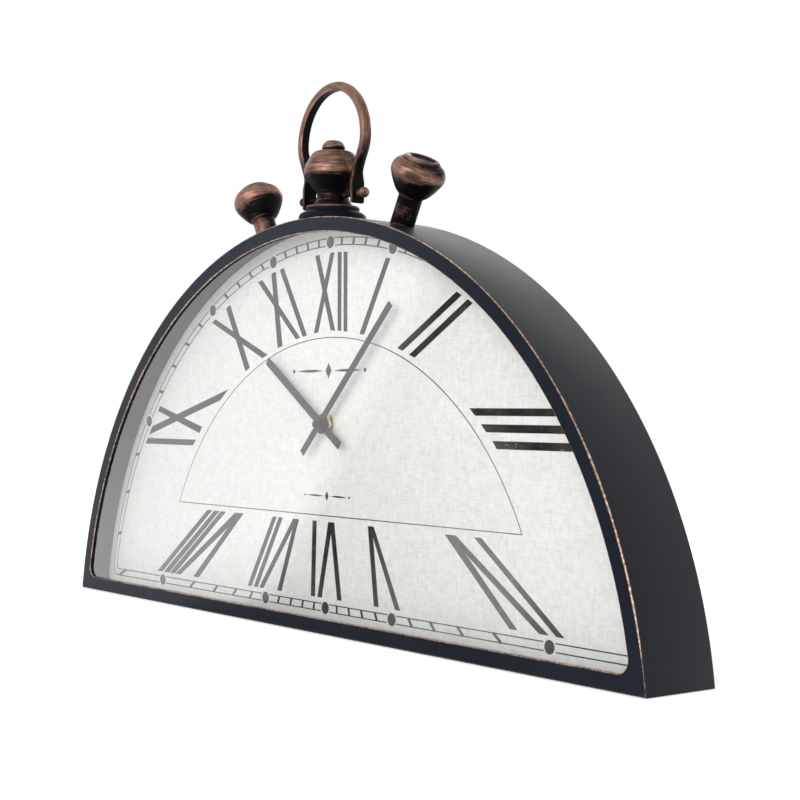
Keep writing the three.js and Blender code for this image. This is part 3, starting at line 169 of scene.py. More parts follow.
# Crown, bow and buttons: heights are above the case, or along the leaning axis
TOP_LINE = -3 # depth at which all of them stand
SEAT_GAP = 0.05 # between the case and their feet
FIT = 0.3 # play where one piece goes into another
TURNED_SIDES = 96
HOLE_SIDES = 40
ROUND_STEPS = 6
BACK_WEAR_AND_SHADE = -0.3 # least share of the front's rub, at the back: wear, and painted shade on the back
FLANGE_BORE = 3.3
FLANGE_TOP = 7.4
FLANGE_RIM = 14.1
KNOB_SPIGOT = 3
KNOB_SEAT = 7.7
SPIGOT_END = -2.15
SPIGOT_TOP = 1
PIN_HEIGHT = 12.3
PIN_RADIUS = 1.35
PIN_BORE = 1.65
PIN_COLLAR_RADIUS = 2
PIN_COLLAR = 2.4
PIN_BALL = 2.8
NUT_BALL = 2.4
BALL_STEPS = 20
EAR_PLACE = 21.4
EAR_WIDTH = 8
EAR_THICKNESS = 1.8
EAR_DROP = 5
EAR_RISE = 9
EAR_ROUND = 0.8
BOW_WIDTH = 60.6
BOW_TOP = 72.8
BOW_SPRING = 42
BOW_BAND = 5.8
BOW_THICKNESS = 4.6
BOW_TURN = 8
BOW_FLAT = 0.7 # how far the round of the strip runs on past its sides, in radians
EAR_POWER = 0.12 # of the strip's section: 0 is square and 1 is round
BOW_POWER = 0.85
BOW_WEAR_RISE = 26
EAR_POINTS = 40
BEND_POINTS = 60
ARCH_POINTS = 400
BOW_RINGS = 220
BOW_FACETS = 28
BRUSH_ROUND = 40.0 # brush lanes of the bow's round and of its flat
BRUSH_FLAT = 80.0
BUTTON_ANGLE = radians(14)
BUTTON_LEAN = radians(26.5)
STEM_RADIUS = 6.1
STEM_LENGTH = 14.4
STEM_STUD = 3
STEM_STUD_LENGTH = 6
BUTTON_SPIGOT = 2.5
HEAD_SEAT = 14.7
HEAD_LENGTH = 20.2
HEAD_RADIUS = 13.7
LEFT_WEAR = 0.6 # the left button is worn more than the right

# Hands
CAP_BORE = 1.4
CAP_BORE_DEPTH = 1.9
BOSS_ROUND = 0.25
BOSS_SUNK = 0.03
BOSS_SIDES = 64

# Camera at the photograph's viewpoint
CAMERA_PLACE = (0.66555, -0.48601, 0.10942)
CAMERA_AZIMUTH = radians(51.479)
CAMERA_ELEVATION = radians(-0.683)
CAMERA_ROLL = radians(0.780)
CAMERA_LENS = 70.68
CAMERA_SENSOR = 36

# Light. Lamps have a place and a size in metres, and a power in watts
WORLD_FILL = 0.8
LAMPS = {
    "key": ((0.3, -1.45, 0.7), (1.5, 1.0), 8.7),
    "side": ((0.5, -0.5, 0.22), (0.5, 0.4), 1.3),
    "rim": ((-0.75, 1.2, 0.85), (1.2, 0.7), 3.1),
}
LAMP_TARGET = Vector((0, 0, 0.1))
FLOOR_HALF = 6.0
FLOOR_DROP = 0.0003
FLOOR_GLOW = 0.42
CARD = [(-141, 0), (76, 260), (310, 260), (310, 0)] # corners of the dark card, as x and z
CARD_PLACE = -80
CARD_FADE = 34
CARD_END_FADE = 110
CARD_FOOT = 0.8 # share of the card that is left at its foot


def srgb(red, green, blue):
    """A display colour as the linear one that shaders take."""
    def linear(c):
        return c / 12.92 if c <= 0.04045 else ((c + 0.055) / 1.055) ** 2.4

    return tuple(linear(c / 255) for c in (red, green, blue)) + (1.0,)


# Materials

class Nodes:
    """The nodes of a material or a world."""

    def __init__(self, tree):
        self.nodes, self.links = tree.nodes, tree.links
        self.nodes.clear()

    def node(self, kind, *first, **named):
        """A new node. Inputs are given in order or by their names, and settings by lower-case names."""
        made = self.nodes.new("ShaderNode" + kind)
        for name in [name for name in named if name.islower()]:
            setattr(made, name, named.pop(name))
        for value, socket in zip(first, made.inputs):
            self.put(value, socket)
        self.fill(made, named)
        return made

    def fill(self, node, values):
        for name, value in values.items():
            self.put(value, node.inputs[name.replace("_", " ")])

    def put(self, value, socket):
        if isinstance(value, bpy.types.NodeSocket):
            self.links.new(value, socket)
        else:
            socket.default_value = value

    def reckon(self, operation, *values):
        return self.node("Math", *values, operation=operation).outputs[0]

    def seen(self):
        """1 for rays from the camera, and for those that metal and glass mirror or let through."""
        rays = self.node("LightPath").outputs
        mirrored = self.reckon("MAXIMUM", rays["Is Camera Ray"], rays["Is Glossy Ray"])
        return self.reckon("MAXIMUM", mirrored, rays["Is Transmission Ray"])


class Surface(Nodes):
    """One material: a Principled shader with colour, roughness and bump from nodes."""

    def __init__(self, name, **values):
        self.material = bpy.data.materials.new(name)
        self.material.use_nodes = True
        super().__init__(self.material.node_tree)
        self.shader = self.node("BsdfPrincipled", **values)
        self.output = self.node("OutputMaterial", self.shader.outputs[0])

    def feed(self, **values):
        self.fill(self.shader, values)

    def show(self, shader):
        self.put(shader.outputs[0], self.output.inputs["Surface"])

    def attribute(self, name, output):
        return self.node("Attribute", attribute_name=name).outputs[output]

    def here(self):
        return self.node("TexCoord").outputs["Object"]

    def axes(self):
        return self.node("SeparateXYZ", self.here()).outputs

    def place(self, size, attribute=None):
        """Coordinates in which one unit is this size in millimetres, one number or one for each axis."""
        sizes = size if isinstance(size, tuple) else (size,) * 3
        source = self.attribute(attribute, "Vector") if attribute else self.here()
        return self.node("Mapping", Vector=source, Scale=[1 / (MM * s) for s in sizes]).outputs["Vector"]

    def noise(self, size, detail=3, rough=0.55, attribute=None):
        return self.node("TexNoise", Vector=self.place(size, attribute), Scale=1, Detail=detail,
                         Roughness=rough).outputs["Fac"]

    def cracks(self, size):
        """Distance to the edges of a cell pattern, so that its low values are thin lines."""
        return self.node("TexVoronoi", feature="DISTANCE_TO_EDGE", Vector=self.place(size),
                         Scale=1).outputs["Distance"]

    def spread(self, value, low, high, to_low=0.0, to_high=1.0):
        return self.node("MapRange", value, low, high, to_low, to_high).outputs["Result"]

    def level(self, noise, low=0.0, high=1.0):
        """A noise with its usual range spread from low to high."""
        return self.spread(noise, 0.3, 0.7, low, high)

    def sum(self, value, other, share=1.0):
        """value + other * share"""
        return self.reckon("MULTIPLY_ADD", other, share, value)

    def times(self, value, other):
        return self.reckon("MULTIPLY", value, other)

    def blend(self, factor, first, second):
        node = self.node("Mix", data_type="RGBA")
        for socket, value in ((0, factor), (6, first), (7, second)):
            self.put(value, node.inputs[socket])
        return node.outputs[2]

    def bump(self, height, strength, depth):
        node = self.node("Bump", Strength=strength, Distance=depth * MM, Height=height)
        self.feed(Normal=node.outputs["Normal"])

    def show_where(self, share, tint=(1, 1, 1, 1)):
        """Shows the surface by this share, and lets light straight through by the rest."""
        clear = self.node("BsdfTransparent", tint)
        self.show(self.node("MixShader", share, clear.outputs[0], self.shader.outputs[0]))


def plain(name, dark, light, size, rough, bump=0.1, **values):
    """A surface that varies between two colours and two roughnesses, with a fine grain."""
    s = Surface(name, **values)
    cloud = s.level(s.noise(size, 4))
    grain = s.noise(tuple(c / 8 for c in size) if isinstance(size, tuple) else size / 8, 2)
    s.feed(Base_Color=s.blend(cloud, srgb(*dark), srgb(*light)), Roughness=s.level(grain, *rough))
    s.bump(grain, bump, 0.2)
    return s.material


def painted_steel(name, edges, dark=(14, 16, 21)):
    """Satin charcoal coat. On edges it is rubbed through to copper where the rub attribute says."""
    s = Surface(name, Specular_IOR_Level=0.19, Specular_Tint=(0.82, 0.91, 1, 1))
    grain = s.noise(0.5, 2)
    smudge = s.level(s.noise((60, 60, 45), 4))
    coat = s.blend(smudge, srgb(*dark), srgb(*(c + 6 for c in dark)))
    gloss = s.sum(s.spread(smudge, 0, 1, 0.4, 0.47), grain, 0.08)
    if edges:
        rub = s.attribute("rub", "Fac")
        worn = s.sum(s.sum(rub, s.noise(13, 3), 0.75), s.noise(1.1, 3), 0.6)
        bare = s.spread(worn, 1.14, 1.5)
        copper = s.blend(s.spread(s.noise(1.6, 3), 0.35, 0.65), srgb(136, 98, 82), srgb(228, 198, 180))
        coat = s.blend(bare, coat, copper)
        gloss = s.blend(bare, gloss, (0.36, 0.36, 0.36, 1))
        s.feed(Metallic=s.spread(bare, 0, 1, 0, 0.85))
    s.feed(Base_Color=coat, Roughness=gloss)
    s.bump(grain, 0.06, 0.12)
    return s.material


def antique_bronze(name, shine, base=(8, 6, 6), streaks=1.0):
    """Black-brown metal, with copper brushed through where the rub attribute says."""
    s = Surface(name, Specular_IOR_Level=0.05)
    rub = s.attribute("rub", "Fac")
    streak = s.noise((12, 12, 0.42), 4, 0.6, "brush")
    patch = s.noise((7, 7, 5), 4, 0.6, "brush")
    fleck = s.noise(0.7, 2)
    worn = s.sum(s.sum(s.sum(rub, streak, streaks), patch, 2.1 - streaks), fleck, 0.3)
    bare = s.spread(worn, 1.3, 2.1)
    copper = s.blend(s.spread(streak, 0.3, 0.72), srgb(92, 66, 57), srgb(*shine))
    s.feed(
        Base_Color=s.blend(bare, s.blend(patch, srgb(*base), srgb(*(c + 8 for c in base))), copper),
        Metallic=s.spread(bare, 0, 1, 0.02, 0.9),
        Roughness=s.sum(s.spread(bare, 0, 1, 0.36, 0.22), streak, 0.1),
    )
    s.bump(s.sum(streak, fleck, 0.4), 0.15, 0.12)
    return s.material


def dial_paper():
    """Off-white sheet printed with a faded canvas: clouds, crossing threads, fine cracks and pale stains."""
    s = Surface("dial_paper", Roughness=0.8, Specular_IOR_Level=0.2)
    cloud = s.level(s.noise(46, 4))
    mottle = s.level(s.noise(3.4, 4, 0.65))
    threads = s.sum(s.noise((0.9, 5, 7), 3), s.noise((7, 5, 0.9), 3))
    line = s.times(s.spread(s.cracks((30, 30, 44)), 0.0, 0.022, 1, 0),
                   s.spread(s.noise(24, 2), 0.5, 0.66))
    stain = s.spread(s.noise(16, 3, 0.6), 0.56, 0.74)
    sheet = s.blend(cloud, srgb(234, 234, 232), srgb(244, 244, 241))
    sheet = s.blend(s.times(mottle, 0.95), sheet, srgb(218, 219, 216))
    sheet = s.blend(s.times(s.spread(threads, 0.8, 1.2), 0.8), sheet, srgb(247, 247, 244))
    sheet = s.blend(s.times(stain, 0.3), sheet, srgb(226, 223, 213))
    sheet = s.blend(s.times(line, 0.14), sheet, srgb(176, 176, 172))
    s.feed(Base_Color=sheet)
    s.bump(threads, 0.12, 0.1)
    return s.material


def dial_print():
    """Charcoal print, faded in clouds, paler towards the lower right, and rubbed off in specks along the
    threads.
    """
    s = Surface("dial_print", Roughness=0.66, Specular_IOR_Level=0.25)
    ink = s.blend(s.spread(s.noise(9, 4, 0.6), 0.32, 0.68), srgb(22, 24, 24), srgb(46, 49, 46))
    ink = s.blend(s.times(s.spread(s.noise(60, 2), 0.52, 0.7), 0.6), ink, srgb(84, 74, 54))
    x, z = PALE_PLACE
    reach = s.node("VectorMath", s.here(), (x * MM, PAPER_FRONT * MM, z * MM), operation="DISTANCE")
    pale = s.spread(reach.outputs["Value"], PALE_NEAR * MM, PALE_FAR * MM, 0.88, 0)
    pale = s.times(pale, s.level(s.noise(5, 3), 0.7, 1))
    ink = s.blend(pale, ink, srgb(146, 148, 143))
    threads = s.sum(s.noise((0.45, 5, 4), 2), s.noise((4, 5, 0.45), 2))
    specks = s.spread(s.sum(threads, s.noise(13, 3), 0.9), 1.72, 1.9)
    s.feed(Base_Color=s.blend(s.times(specks, 0.75), ink, srgb(206, 208, 203)))
    s.bump(threads, 0.1, 0.05)
    return s.material


def clear_glass():
    """Window glass: it mirrors more the flatter it is seen, and lets the rest straight through."""
    s = Surface("glass", Base_Color=(1, 1, 1, 1), Metallic=1, Roughness=0.02)
    facing = s.node("LayerWeight", Blend=0.5).outputs["Facing"]
    smear = s.level(s.noise(70, 3), 0.075, 0.085)
    outside = s.spread(s.node("NewGeometry").outputs["Backfacing"], 0, 1, 1, 0)
    mirror = s.sum(smear, s.reckon("POWER", facing, 2.4), 0.72)
    s.show_where(s.times(mirror, outside), (0.99, 0.992, 0.99, 1))
    return s.material


def brushed(name, dark, light, rough, along):
    """Metal with fine streaks; along is the size of the streaks in x, y and z."""
    s = Surface(name, Metallic=1.0)
    streak = s.noise(along, 4, 0.6)
    spot = s.spread(s.noise(9, 3), 0.35, 0.65)
    s.feed(Base_Color=s.blend(s.sum(s.times(spot, 0.5), streak, 0.5), srgb(*dark), srgb(*light)),
           Roughness=s.level(streak, *rough))
    s.bump(streak, 0.15, 0.05)
    return s.material


def battery_cell():
    """Printed sleeve with a gold end, between bare steel ends."""
    low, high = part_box("battery")
    s = Surface("battery_cell", Specular_IOR_Level=0.5)
    length = high.x - low.x
    share = s.spread(s.axes()["X"], low.x, high.x)
    gold = s.spread(share, 0.72, 0.725)
    steel = s.sum(s.spread(share, 0.97, 0.972), s.spread(share, 0.012, 0.01))
    scuff = s.noise((length / MM / 6, 3, 3), 3)
    sleeve = s.blend(gold, s.blend(scuff, srgb(22, 24, 27), srgb(40, 43, 47)),
                     s.blend(scuff, srgb(168, 118, 58), srgb(198, 150, 84)))
    s.feed(Base_Color=s.blend(steel, sleeve, srgb(186, 188, 190)),
           Metallic=s.sum(s.times(gold, 0.7), steel, 0.9), Roughness=s.level(scuff, 0.28, 0.4))
    s.bump(scuff, 0.05, 0.05)
    return s.material


CASE_BLACK = painted_steel("case_black", False)
# The bezel's coat is the band's paint made lighter and bluer: painted sheen for what its front face mirrors,
# besides its worn copper edges.
EDGED_BLACK_PAINTED_SHEEN = painted_steel("case_black_edged_painted_sheen", True, (22, 26, 35))
BRONZE = antique_bronze("antique_bronze", (186, 143, 124))
BOW_BRONZE = antique_bronze("antique_bronze_bow", (168, 128, 112))
STEM_BRONZE = antique_bronze("antique_bronze_stem", (164, 122, 106), streaks=0.4)
DARK_BRONZE = antique_bronze("dark_bronze", (150, 112, 98), (10, 14, 19))
PAPER = dial_paper()
PRINT = dial_print()
GLASS = clear_glass()
LINING = plain("lining", (22, 23, 23), (32, 33, 32), (30, 30, 24), (0.6, 0.75), 0.08, Specular_IOR_Level=0.1)
HAND_GLOSS = plain("hand_gloss", (20, 21, 22), (32, 33, 34), 6, (0.2, 0.3), 0.05)
HAND_BLACK = plain("hand_black", (26, 27, 28), (40, 42, 43), 14, (0.42, 0.55), 0.05)
BRASS = brushed("brass", (224, 202, 142), (250, 238, 192), (0.2, 0.34), (0.3, 3, 3))
ZINC = brushed("zinc_plate", (140, 143, 146), (188, 190, 190), (0.32, 0.46), (8, 0.5, 8))
STEEL = brushed("screw_steel", (60, 58, 58), (96, 92, 90), (0.28, 0.42), (2, 2, 0.3))
FIBREBOARD = plain("fibreboard", (128, 98, 66), (160, 128, 92), (5, 2, 5), (0.78, 0.9), 0.5)
RUBBER = plain("rubber", (20, 20, 21), (33, 33, 34), 3, (0.68, 0.85), 0.25)
BLACK_PLASTIC = plain("black_plastic", (24, 24, 26), (34, 34, 36), 2.4, (0.42, 0.56), 0.22)
WHITE_PLASTIC = plain("white_plastic", (222, 222, 214), (238, 238, 232), 5, (0.38, 0.5), 0.05)
MAGNET = plain("magnet", (58, 56, 56), (92, 90, 88), 1.2, (0.4, 0.55), 0.2, Metallic=0.8)
COPPER_WIRE = brushed("copper_wire", (150, 78, 44), (214, 132, 84), (0.24, 0.4), (0.16, 4, 4))
CIRCUIT = plain("circuit_board", (24, 66, 40), (44, 96, 60), (2.5, 4, 0.8), (0.35, 0.5), 0.3)
BATTERY = battery_cell()


# Mesh tools, in millimetres

def at_depth(outline, y):
    return [(x, y, z) for x, z in outline]


class Shell:
    """Points and faces of one piece. Each point has a rub value and brush coordinates."""

    def __init__(self):
        self.points, self.faces, self.rub, self.brush = [], [], [], []

    def add(self, points, faces, rub, brush):
        start = len(self.points)
        self.points += points
        self.faces += [[start + i for i in face] for face in faces]
        self.rub += rub or [0.0] * len(points)
        self.brush += brush or points
        return self

    def rings(self, rings, rubs=None, brushes=None, loop=False):
        """Skins closed rings of points. In a loop the last joins the first, else both ends are capped."""
        count, total = len(rings[0]), len(rings)
        faces = []
        for i in range(total if loop else total - 1):
            a, b = i * count, (i + 1) % total * count
            faces += [(a + k, a + (k + 1) % count, b + (k + 1) % count, b + k) for k in range(count)]
        if not loop:
            faces += [range(count), range((total - 1) * count, total * count)]
        points, rub, brush = ([v for ring in lists or () for v in ring] for lists in (rings, rubs, brushes))
        return self.add(points, faces, rub, brush)

    def lathe(self, profile, place, sides=TURNED_SIDES, foot=None, front=0.0):
        """Turns a profile about z and moves it to a place. Its points are radius, height and, if not 0, rub.

        A profile that starts and ends on the axis is closed there, and any other is a loop. Where the height
        is None, foot gives it from the point beside the axis. The front is rubbed more than the back, as
        wear and as painted highlight on the lit front, with painted shade on the back.
        """
        points, rub, brush, rows = [], [], [], []
        for radius, height, *worn in profile:
            row = []
            for k in range(sides if radius > 0 else 1):
                turn = 2 * pi * k / sides
                x, y = radius * cos(turn), radius * sin(turn)
                z = foot(x, y) if height is None else height
                row.append(len(points))
                points.append(tuple(place @ Vector((x, y, z))))
                # More rub towards the front: wear, with painted highlight on the lit front and painted shade
                # on the back.
                rub.append(sum(worn) + front * max(-sin(turn), BACK_WEAR_AND_SHADE))
                brush.append((x, y, z))
            rows.append(row)
        loop = len(rows[0]) > 1
        faces = []
        for a, b in zip(rows, rows[1:] + rows[:1] if loop else rows[1:]):
            for k in range(sides):
                corners = [a[k % len(a)], a[(k + 1) % len(a)], b[(k + 1) % len(b)], b[k % len(b)]]
                face = list(dict.fromkeys(corners))
                if len(face) > 2:
                    faces.append(face)
        return self.add(points, faces, rub, brush)

    def prism(self, outline, front, back):
        """A flat shape given by x and z, from one depth to another."""
        return self.rings([at_depth(outline, front), at_depth(outline, back)])


def add_object(name, data):
    made = bpy.data.objects.new(name, data)
    bpy.context.scene.collection.objects.link(made)
    return made


def piece(name, shell, material, body, replaced=(), sharp=SHARP_EDGE):
    """Makes a piece of a shell, with smooth shading except at sharp edges, riding on a body."""
    mesh = bpy.data.meshes.new(name)
    mesh.from_pydata([[c * MM for c in p] for p in shell.points], [], shell.faces)
    rub = mesh.attributes.new("rub", "FLOAT", "POINT")
    rub.data.foreach_set("value", shell.rub)
    brush = mesh.attributes.new("brush", "FLOAT_VECTOR", "POINT")
    brush.data.foreach_set("vector", [c * MM for p in shell.brush for c in p])
    work = bmesh.new()
    work.from_mesh(mesh)
    bmesh.ops.recalc_face_normals(work, faces=work.faces)
    work.to_mesh(mesh)
    work.free()
    mesh.shade_smooth()
    mesh.set_sharp_from_angle(angle=radians(sharp))
    mesh.materials.append(material)
    made = add_object(name, mesh)
    if body:
        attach(made, body)
    if replaced:
        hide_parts(*replaced)
    return made


def carve(made, cutter, sharp=SHARP_EDGE):
    """Cuts one piece's shape out of another and drops the cutter."""
    modifier = made.modifiers.new("carve", "BOOLEAN")
    modifier.object = cutter
    modifier.operation = "DIFFERENCE"
    mesh = bpy.data.meshes.new_from_object(made.evaluated_get(bpy.context.evaluated_depsgraph_get()))
    made.modifiers.clear()
    made.data = mesh
    mesh.set_sharp_from_angle(angle=radians(sharp))
    bpy.data.objects.remove(cutter)


def spline(points, steps):
    """A smooth run through points, as many steps in all."""
    last = len(points) - 1
    run = []
    for i in range(steps + 1):
        at = i / steps * last
        k = min(int(at), last - 1)
        t = at - k
        near = [points[max(k - 1, 0)], points[k], points[k + 1], points[min(k + 2, last)]]
        run.append(tuple(
            b + t * ((c - a) / 2 + t * (a - 2.5 * b + 2 * c - d / 2 + t * (1.5 * (b - c) + (d - a) / 2)))
            for a, b, c, d in zip(*near)))
    return run


def rounded(radius, height, round_off, rub):
    """The rounded outer edge at the top of a turned profile."""
    return [(radius - round_off + round_off * cos(a), height - round_off + round_off * sin(a), rub)
            for a in (pi / 2 * i / ROUND_STEPS for i in range(ROUND_STEPS + 1))]


# Outlines of the case, as x and z

def on_arc(radius, turn):
    return radius * cos(turn), ARC_CENTRE + radius * sin(turn)


def arc(radius, start, steps=ARC_STEPS):
    """Points on an arc about the case's centre, from a turn at the right over the top to the left."""
    return [on_arc(radius, start + (pi - 2 * start) * i / steps) for i in range(steps + 1)]


def closed(right, arch, reach, foot, steps):
    """Closes an outline with the mirror image of its right corner and a straight foot."""
    left = [(-x, z) for x, z in reversed(right)]
    return right + arch + left + [(reach * (2 * i / steps - 1), foot) for i in range(1, steps)]


def square_outline(inset, foot):
    """The half-round outline with sharp lower corners, its points spread to match the rounded one's."""
    radius = CASE_RADIUS - inset
    start = asin((foot - ARC_CENTRE) / radius)
    half = radius * cos(start)
    middle = CORNER_STEPS // 2
    near = 1 - BEZEL_CORNER / half
    side = BEZEL_CORNER / radius
    right = [(half * (near + (1 - near) * i / middle), foot) for i in range(middle)]
    right += [on_arc(radius, start + side * i / middle) for i in range(middle + 1)]
    arch = arc(radius, start + side)[1:-1]
    return closed(right, arch, half * near, foot, FLOOR_STEPS)


def rounded_outline(inset, foot, corner, arc_steps=ARC_STEPS, floor_steps=FLOOR_STEPS):
    """The half-round outline with its lower corners rounded."""
    radius = CASE_RADIUS - inset
    rise = foot + corner - ARC_CENTRE
    reach = sqrt((radius - corner) ** 2 - rise ** 2)
    meet = atan2(rise, reach)
    right = []
    for i in range(CORNER_STEPS):
        turn = -pi / 2 + (meet + pi / 2) * i / (CORNER_STEPS - 1)
        right.append((reach + corner * cos(turn), foot + corner * (1 + sin(turn))))
    arch = arc(radius, meet, arc_steps)[1:-1]
    return closed(right, arch, reach, foot, floor_steps)


# Case

def band():
    section = [
        (0, BEZEL_BACK), (0, CASE_REAR - RIM_ROUND), (RIM_ROUND * 0.3, CASE_REAR - RIM_ROUND * 0.3),
        (RIM_ROUND, CASE_REAR), (SHEET - RIM_ROUND, CASE_REAR), (SHEET, CASE_REAR - RIM_ROUND),
        (SHEET, BEZEL_BACK),
    ]
    runs = []
    for inset, y in section:
        radius = CASE_RADIUS - inset
        runs.append(at_depth(arc(radius, asin(-ARC_CENTRE / radius)), y))
    piece("band", Shell().rings(list(zip(*runs))), CASE_BLACK, "case", ["case_band"])


def edge_wear(x, z):
    """How far the bezel's outer edge is rubbed: least along the foot, and most some way up the sides."""
    if z < 2 * EDGE_ROUND and abs(x) < CASE_WIDTH / 2 - CORNER_REACH:
        return FOOT_WEAR
    return min(CORNER_WEAR + z / WEAR_RISE, SIDE_WEAR - WEAR_FADE * z / CASE_HEIGHT)


def bezel():
    """The flat ring, with a rounded edge outside and a smaller one inside."""
    front, outer, inner = CASE_FRONT, EDGE_ROUND, EDGE_ROUND * 0.6

    def outside(inset):
        return square_outline(inset, inset)

    def inside(spare):
        return rounded_outline(BEZEL_WIDTH - spare, BEZEL_WIDTH - spare, BEZEL_CORNER + spare)

    edge = [(outside(0), BEZEL_BACK, 0.0), (outside(0), front + outer * 1.8, 0.0),
            (outside(0), front + outer, 0.42), (outside(outer * 0.3), front + outer * 0.3, 1.0),
            (outside(outer), front, 0.42), (outside(outer * 2), front, 0.0)]
    opening = [(inside(1), front, 0.0), (inside(inner), front, 0.62), (inside(0), front + inner, 0.9),
               (inside(0), BEZEL_BACK, -0.6)]
    rubs = [[rub * edge_wear(x, z) for x, z in outline] for outline, y, rub in edge]
    rubs += [[rub] * len(outline) for outline, y, rub in opening]
    rings = [at_depth(outline, y) for outline, y, rub in edge + opening]
    piece("bezel", Shell().rings(rings, rubs, loop=True), EDGED_BLACK_PAINTED_SHEEN, "case", ["front_bezel"],
          SOFT_EDGE)


def lining():
    outer = square_outline(LINING_INSET, LINING_FOOT)
    inner = rounded_outline(LINING_INSET + LINING_WALL, LINING_FOOT + LINING_WALL, BEZEL_CORNER)
    rings = [at_depth(outer, LINING_BACK), at_depth(outer, LINING_FRONT), at_depth(inner, LINING_FRONT),
             at_depth(inner, LINING_BACK)]
    piece("lining_wall", Shell().rings(rings, loop=True), LINING, "case", ["dial_spacer"])


def back_screws():
    """Pan heads with a cross recess, in place of the plain ones."""
    for number in range(1, 5):
        node = f"back_screw_{number}"
        low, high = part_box(node)
        x, z = (low.x + high.x) / 2 / MM, (low.z + high.z) / 2 / MM
        tip, crest, radius = low.y / MM, high.y / MM, (high.x - low.x) / 2 / MM
        place = Matrix.Translation((x, 0, z)) @ Matrix.Rotation(-pi / 2, 4, "X")
        seat = crest - SCREW_HEAD_HEIGHT
        shell = Shell().lathe([
            (0, tip), (SCREW_TIP_RADIUS, tip), (SCREW_RADIUS, tip + SCREW_TAPER), (SCREW_RADIUS, seat),
            (radius, seat), *spline([(radius, seat + 0.3), (radius * 0.86, seat + 0.85),
                                     (radius * 0.5, seat + 1.12), (0, crest)], 12),
        ], place, SMALL_SIDES)
        screw = piece(f"panel_screw_{number}", shell, STEEL, "case", [node])
        arm, half = radius * RECESS_ARM, RECESS_HALF
        quarter, outline = [(half, half), (half, arm), (-half, arm)], []
        for _ in range(4):
            outline += [(x + a, z + b) for a, b in quarter]
            quarter = [(-b, a) for a, b in quarter]
        cross = Shell().prism(outline, crest + 1, crest - RECESS_DEPTH)
        carve(screw, piece("recess", cross, STEEL, None))


# Dial print

def meeting(first, second):
    """Where two straight lines cross, each given by two points."""
    (ax, az), (bx, bz) = first
    (cx, cz), (dx, dz) = second
    spread = (bx - ax) * (dz - cz) - (bz - az) * (dx - cx)
    t = ((cx - ax) * (dz - cz) - (cz - az) * (dx - cx)) / spread
    return ax + t * (bx - ax), az + t * (bz - az)


def crossed(one, two):
    """The outline of two crossing strokes, each given by its four corners in turn."""
    (a, b, c, d), (e, f, g, h) = one, two
    return [h, g, meeting((f, g), (a, d)), d, c, meeting((b, c), (f, g)),
            f, e, meeting((e, h), (b, c)), b, a, meeting((a, d), (e, h))]


def print_layer(name, outlines):
    shell = Shell()
    for outline in outlines:
        shell.prism(outline, PAPER_FRONT - PRINT_RAISED, PAPER_FRONT + PRINT_SUNK)
    piece(name, shell, PRINT, "case")


def heading(line, i):
    """Direction of a line at one of its points."""
    (ax, az), (bx, bz) = line[max(i - 1, 0)], line[min(i + 1, len(line) - 1)]
    length = hypot(bx - ax, bz - az)
    return (bx - ax) / length, (bz - az) / length


def strip(line, width):
    """Outline of a thin line along points."""
    left, right = [], []
    for i, (x, z) in enumerate(line):
        tx, tz = heading(line, i)
        ox, oz = -tz * width / 2, tx * width / 2
        left.append((x + ox, z + oz))
        right.append((x - ox, z - oz))
    return left + right[::-1]


def disc(x, z, radius, sides=SMALL_SIDES):
    return [(x + radius * cos(2 * pi * k / sides), z + radius * sin(2 * pi * k / sides))
            for k in range(sides)]


def leaf(x, z, length, height):
    """A slim pointed oval."""
    shares = [i / ORNAMENT_STEPS for i in range(ORNAMENT_STEPS + 1)]
    upper = [(x + length * (t - 0.5), z + height / 2 * sin(pi * t)) for t in shares]
    return upper + [(a, 2 * z - b) for a, b in reversed(upper[1:-1])]


def ray_hit(outline, turn):
    """Where a ray from the hands' arbor, turned clockwise from the top, meets an outline."""
    turn = atan2(TICK_SPREAD * sin(turn), cos(turn))
    dx, dz = sin(turn), cos(turn)
    beside = [x * dz - (z - DIAL_CENTRE) * dx for x, z in outline]
    along = [x * dx + (z - DIAL_CENTRE) * dz for x, z in outline]
    for k in range(-1, len(outline) - 1):
        a, b = beside[k], beside[k + 1]
        if a * b <= 0 and a != b:
            reach = along[k] + (along[k + 1] - along[k]) * a / (a - b)
            if reach > 0:
                return dx * reach, DIAL_CENTRE + dz * reach


def numerals():
    strokes = sum(BARS.values(), [])
    for top, foot, *across in sum(LEVEL_BARS.values(), []):
        strokes.append(list(zip(across, (top, top, foot, foot))))
    for top, foot, notch, *across in VEES.values():
        strokes.append(list(zip(across, (top, top, foot, foot, notch, foot, foot))))
    print_layer("numerals", strokes + [crossed(*pair) for pair in CROSSES.values()])


def hours_and_minutes():
    """Dots for the hours, and a double line between them with ticks for the minutes."""
    dots = DOTS + [(-x, z) for x, z in DOTS if x]
    print_layer("hour_dots", [disc(x, z, DOT_RADIUS) for x, z in dots])

    lines, outlines = [], []
    for radius, foot, corner in (TRACK_OUTER, TRACK_INNER):
        outline = rounded_outline(CASE_RADIUS - radius, foot, corner, TRACK_STEPS, TRACK_STEPS)
        outlines.append([(x * TRACK_SPREAD, z) for x, z in outline])
    for outline in outlines:
        clear = [all(dist(point, dot) > DOT_HALO for dot in dots) for point in outline]
        first = clear.index(False)
        order = [*range(first, len(outline)), *range(first)]
        for shown, run in groupby(order, lambda k: clear[k]):
            if shown:
                lines.append(strip([outline[k] for k in run], TRACK_LINE))
    for minute in range(60):
        if minute % 5 and minute != BARE_MINUTE:
            turn = radians(6 * minute)
            lines.append(strip([ray_hit(outlines[1], turn), ray_hit(outlines[0], turn)], TICK_WIDTH))
    print_layer("minute_track", lines)


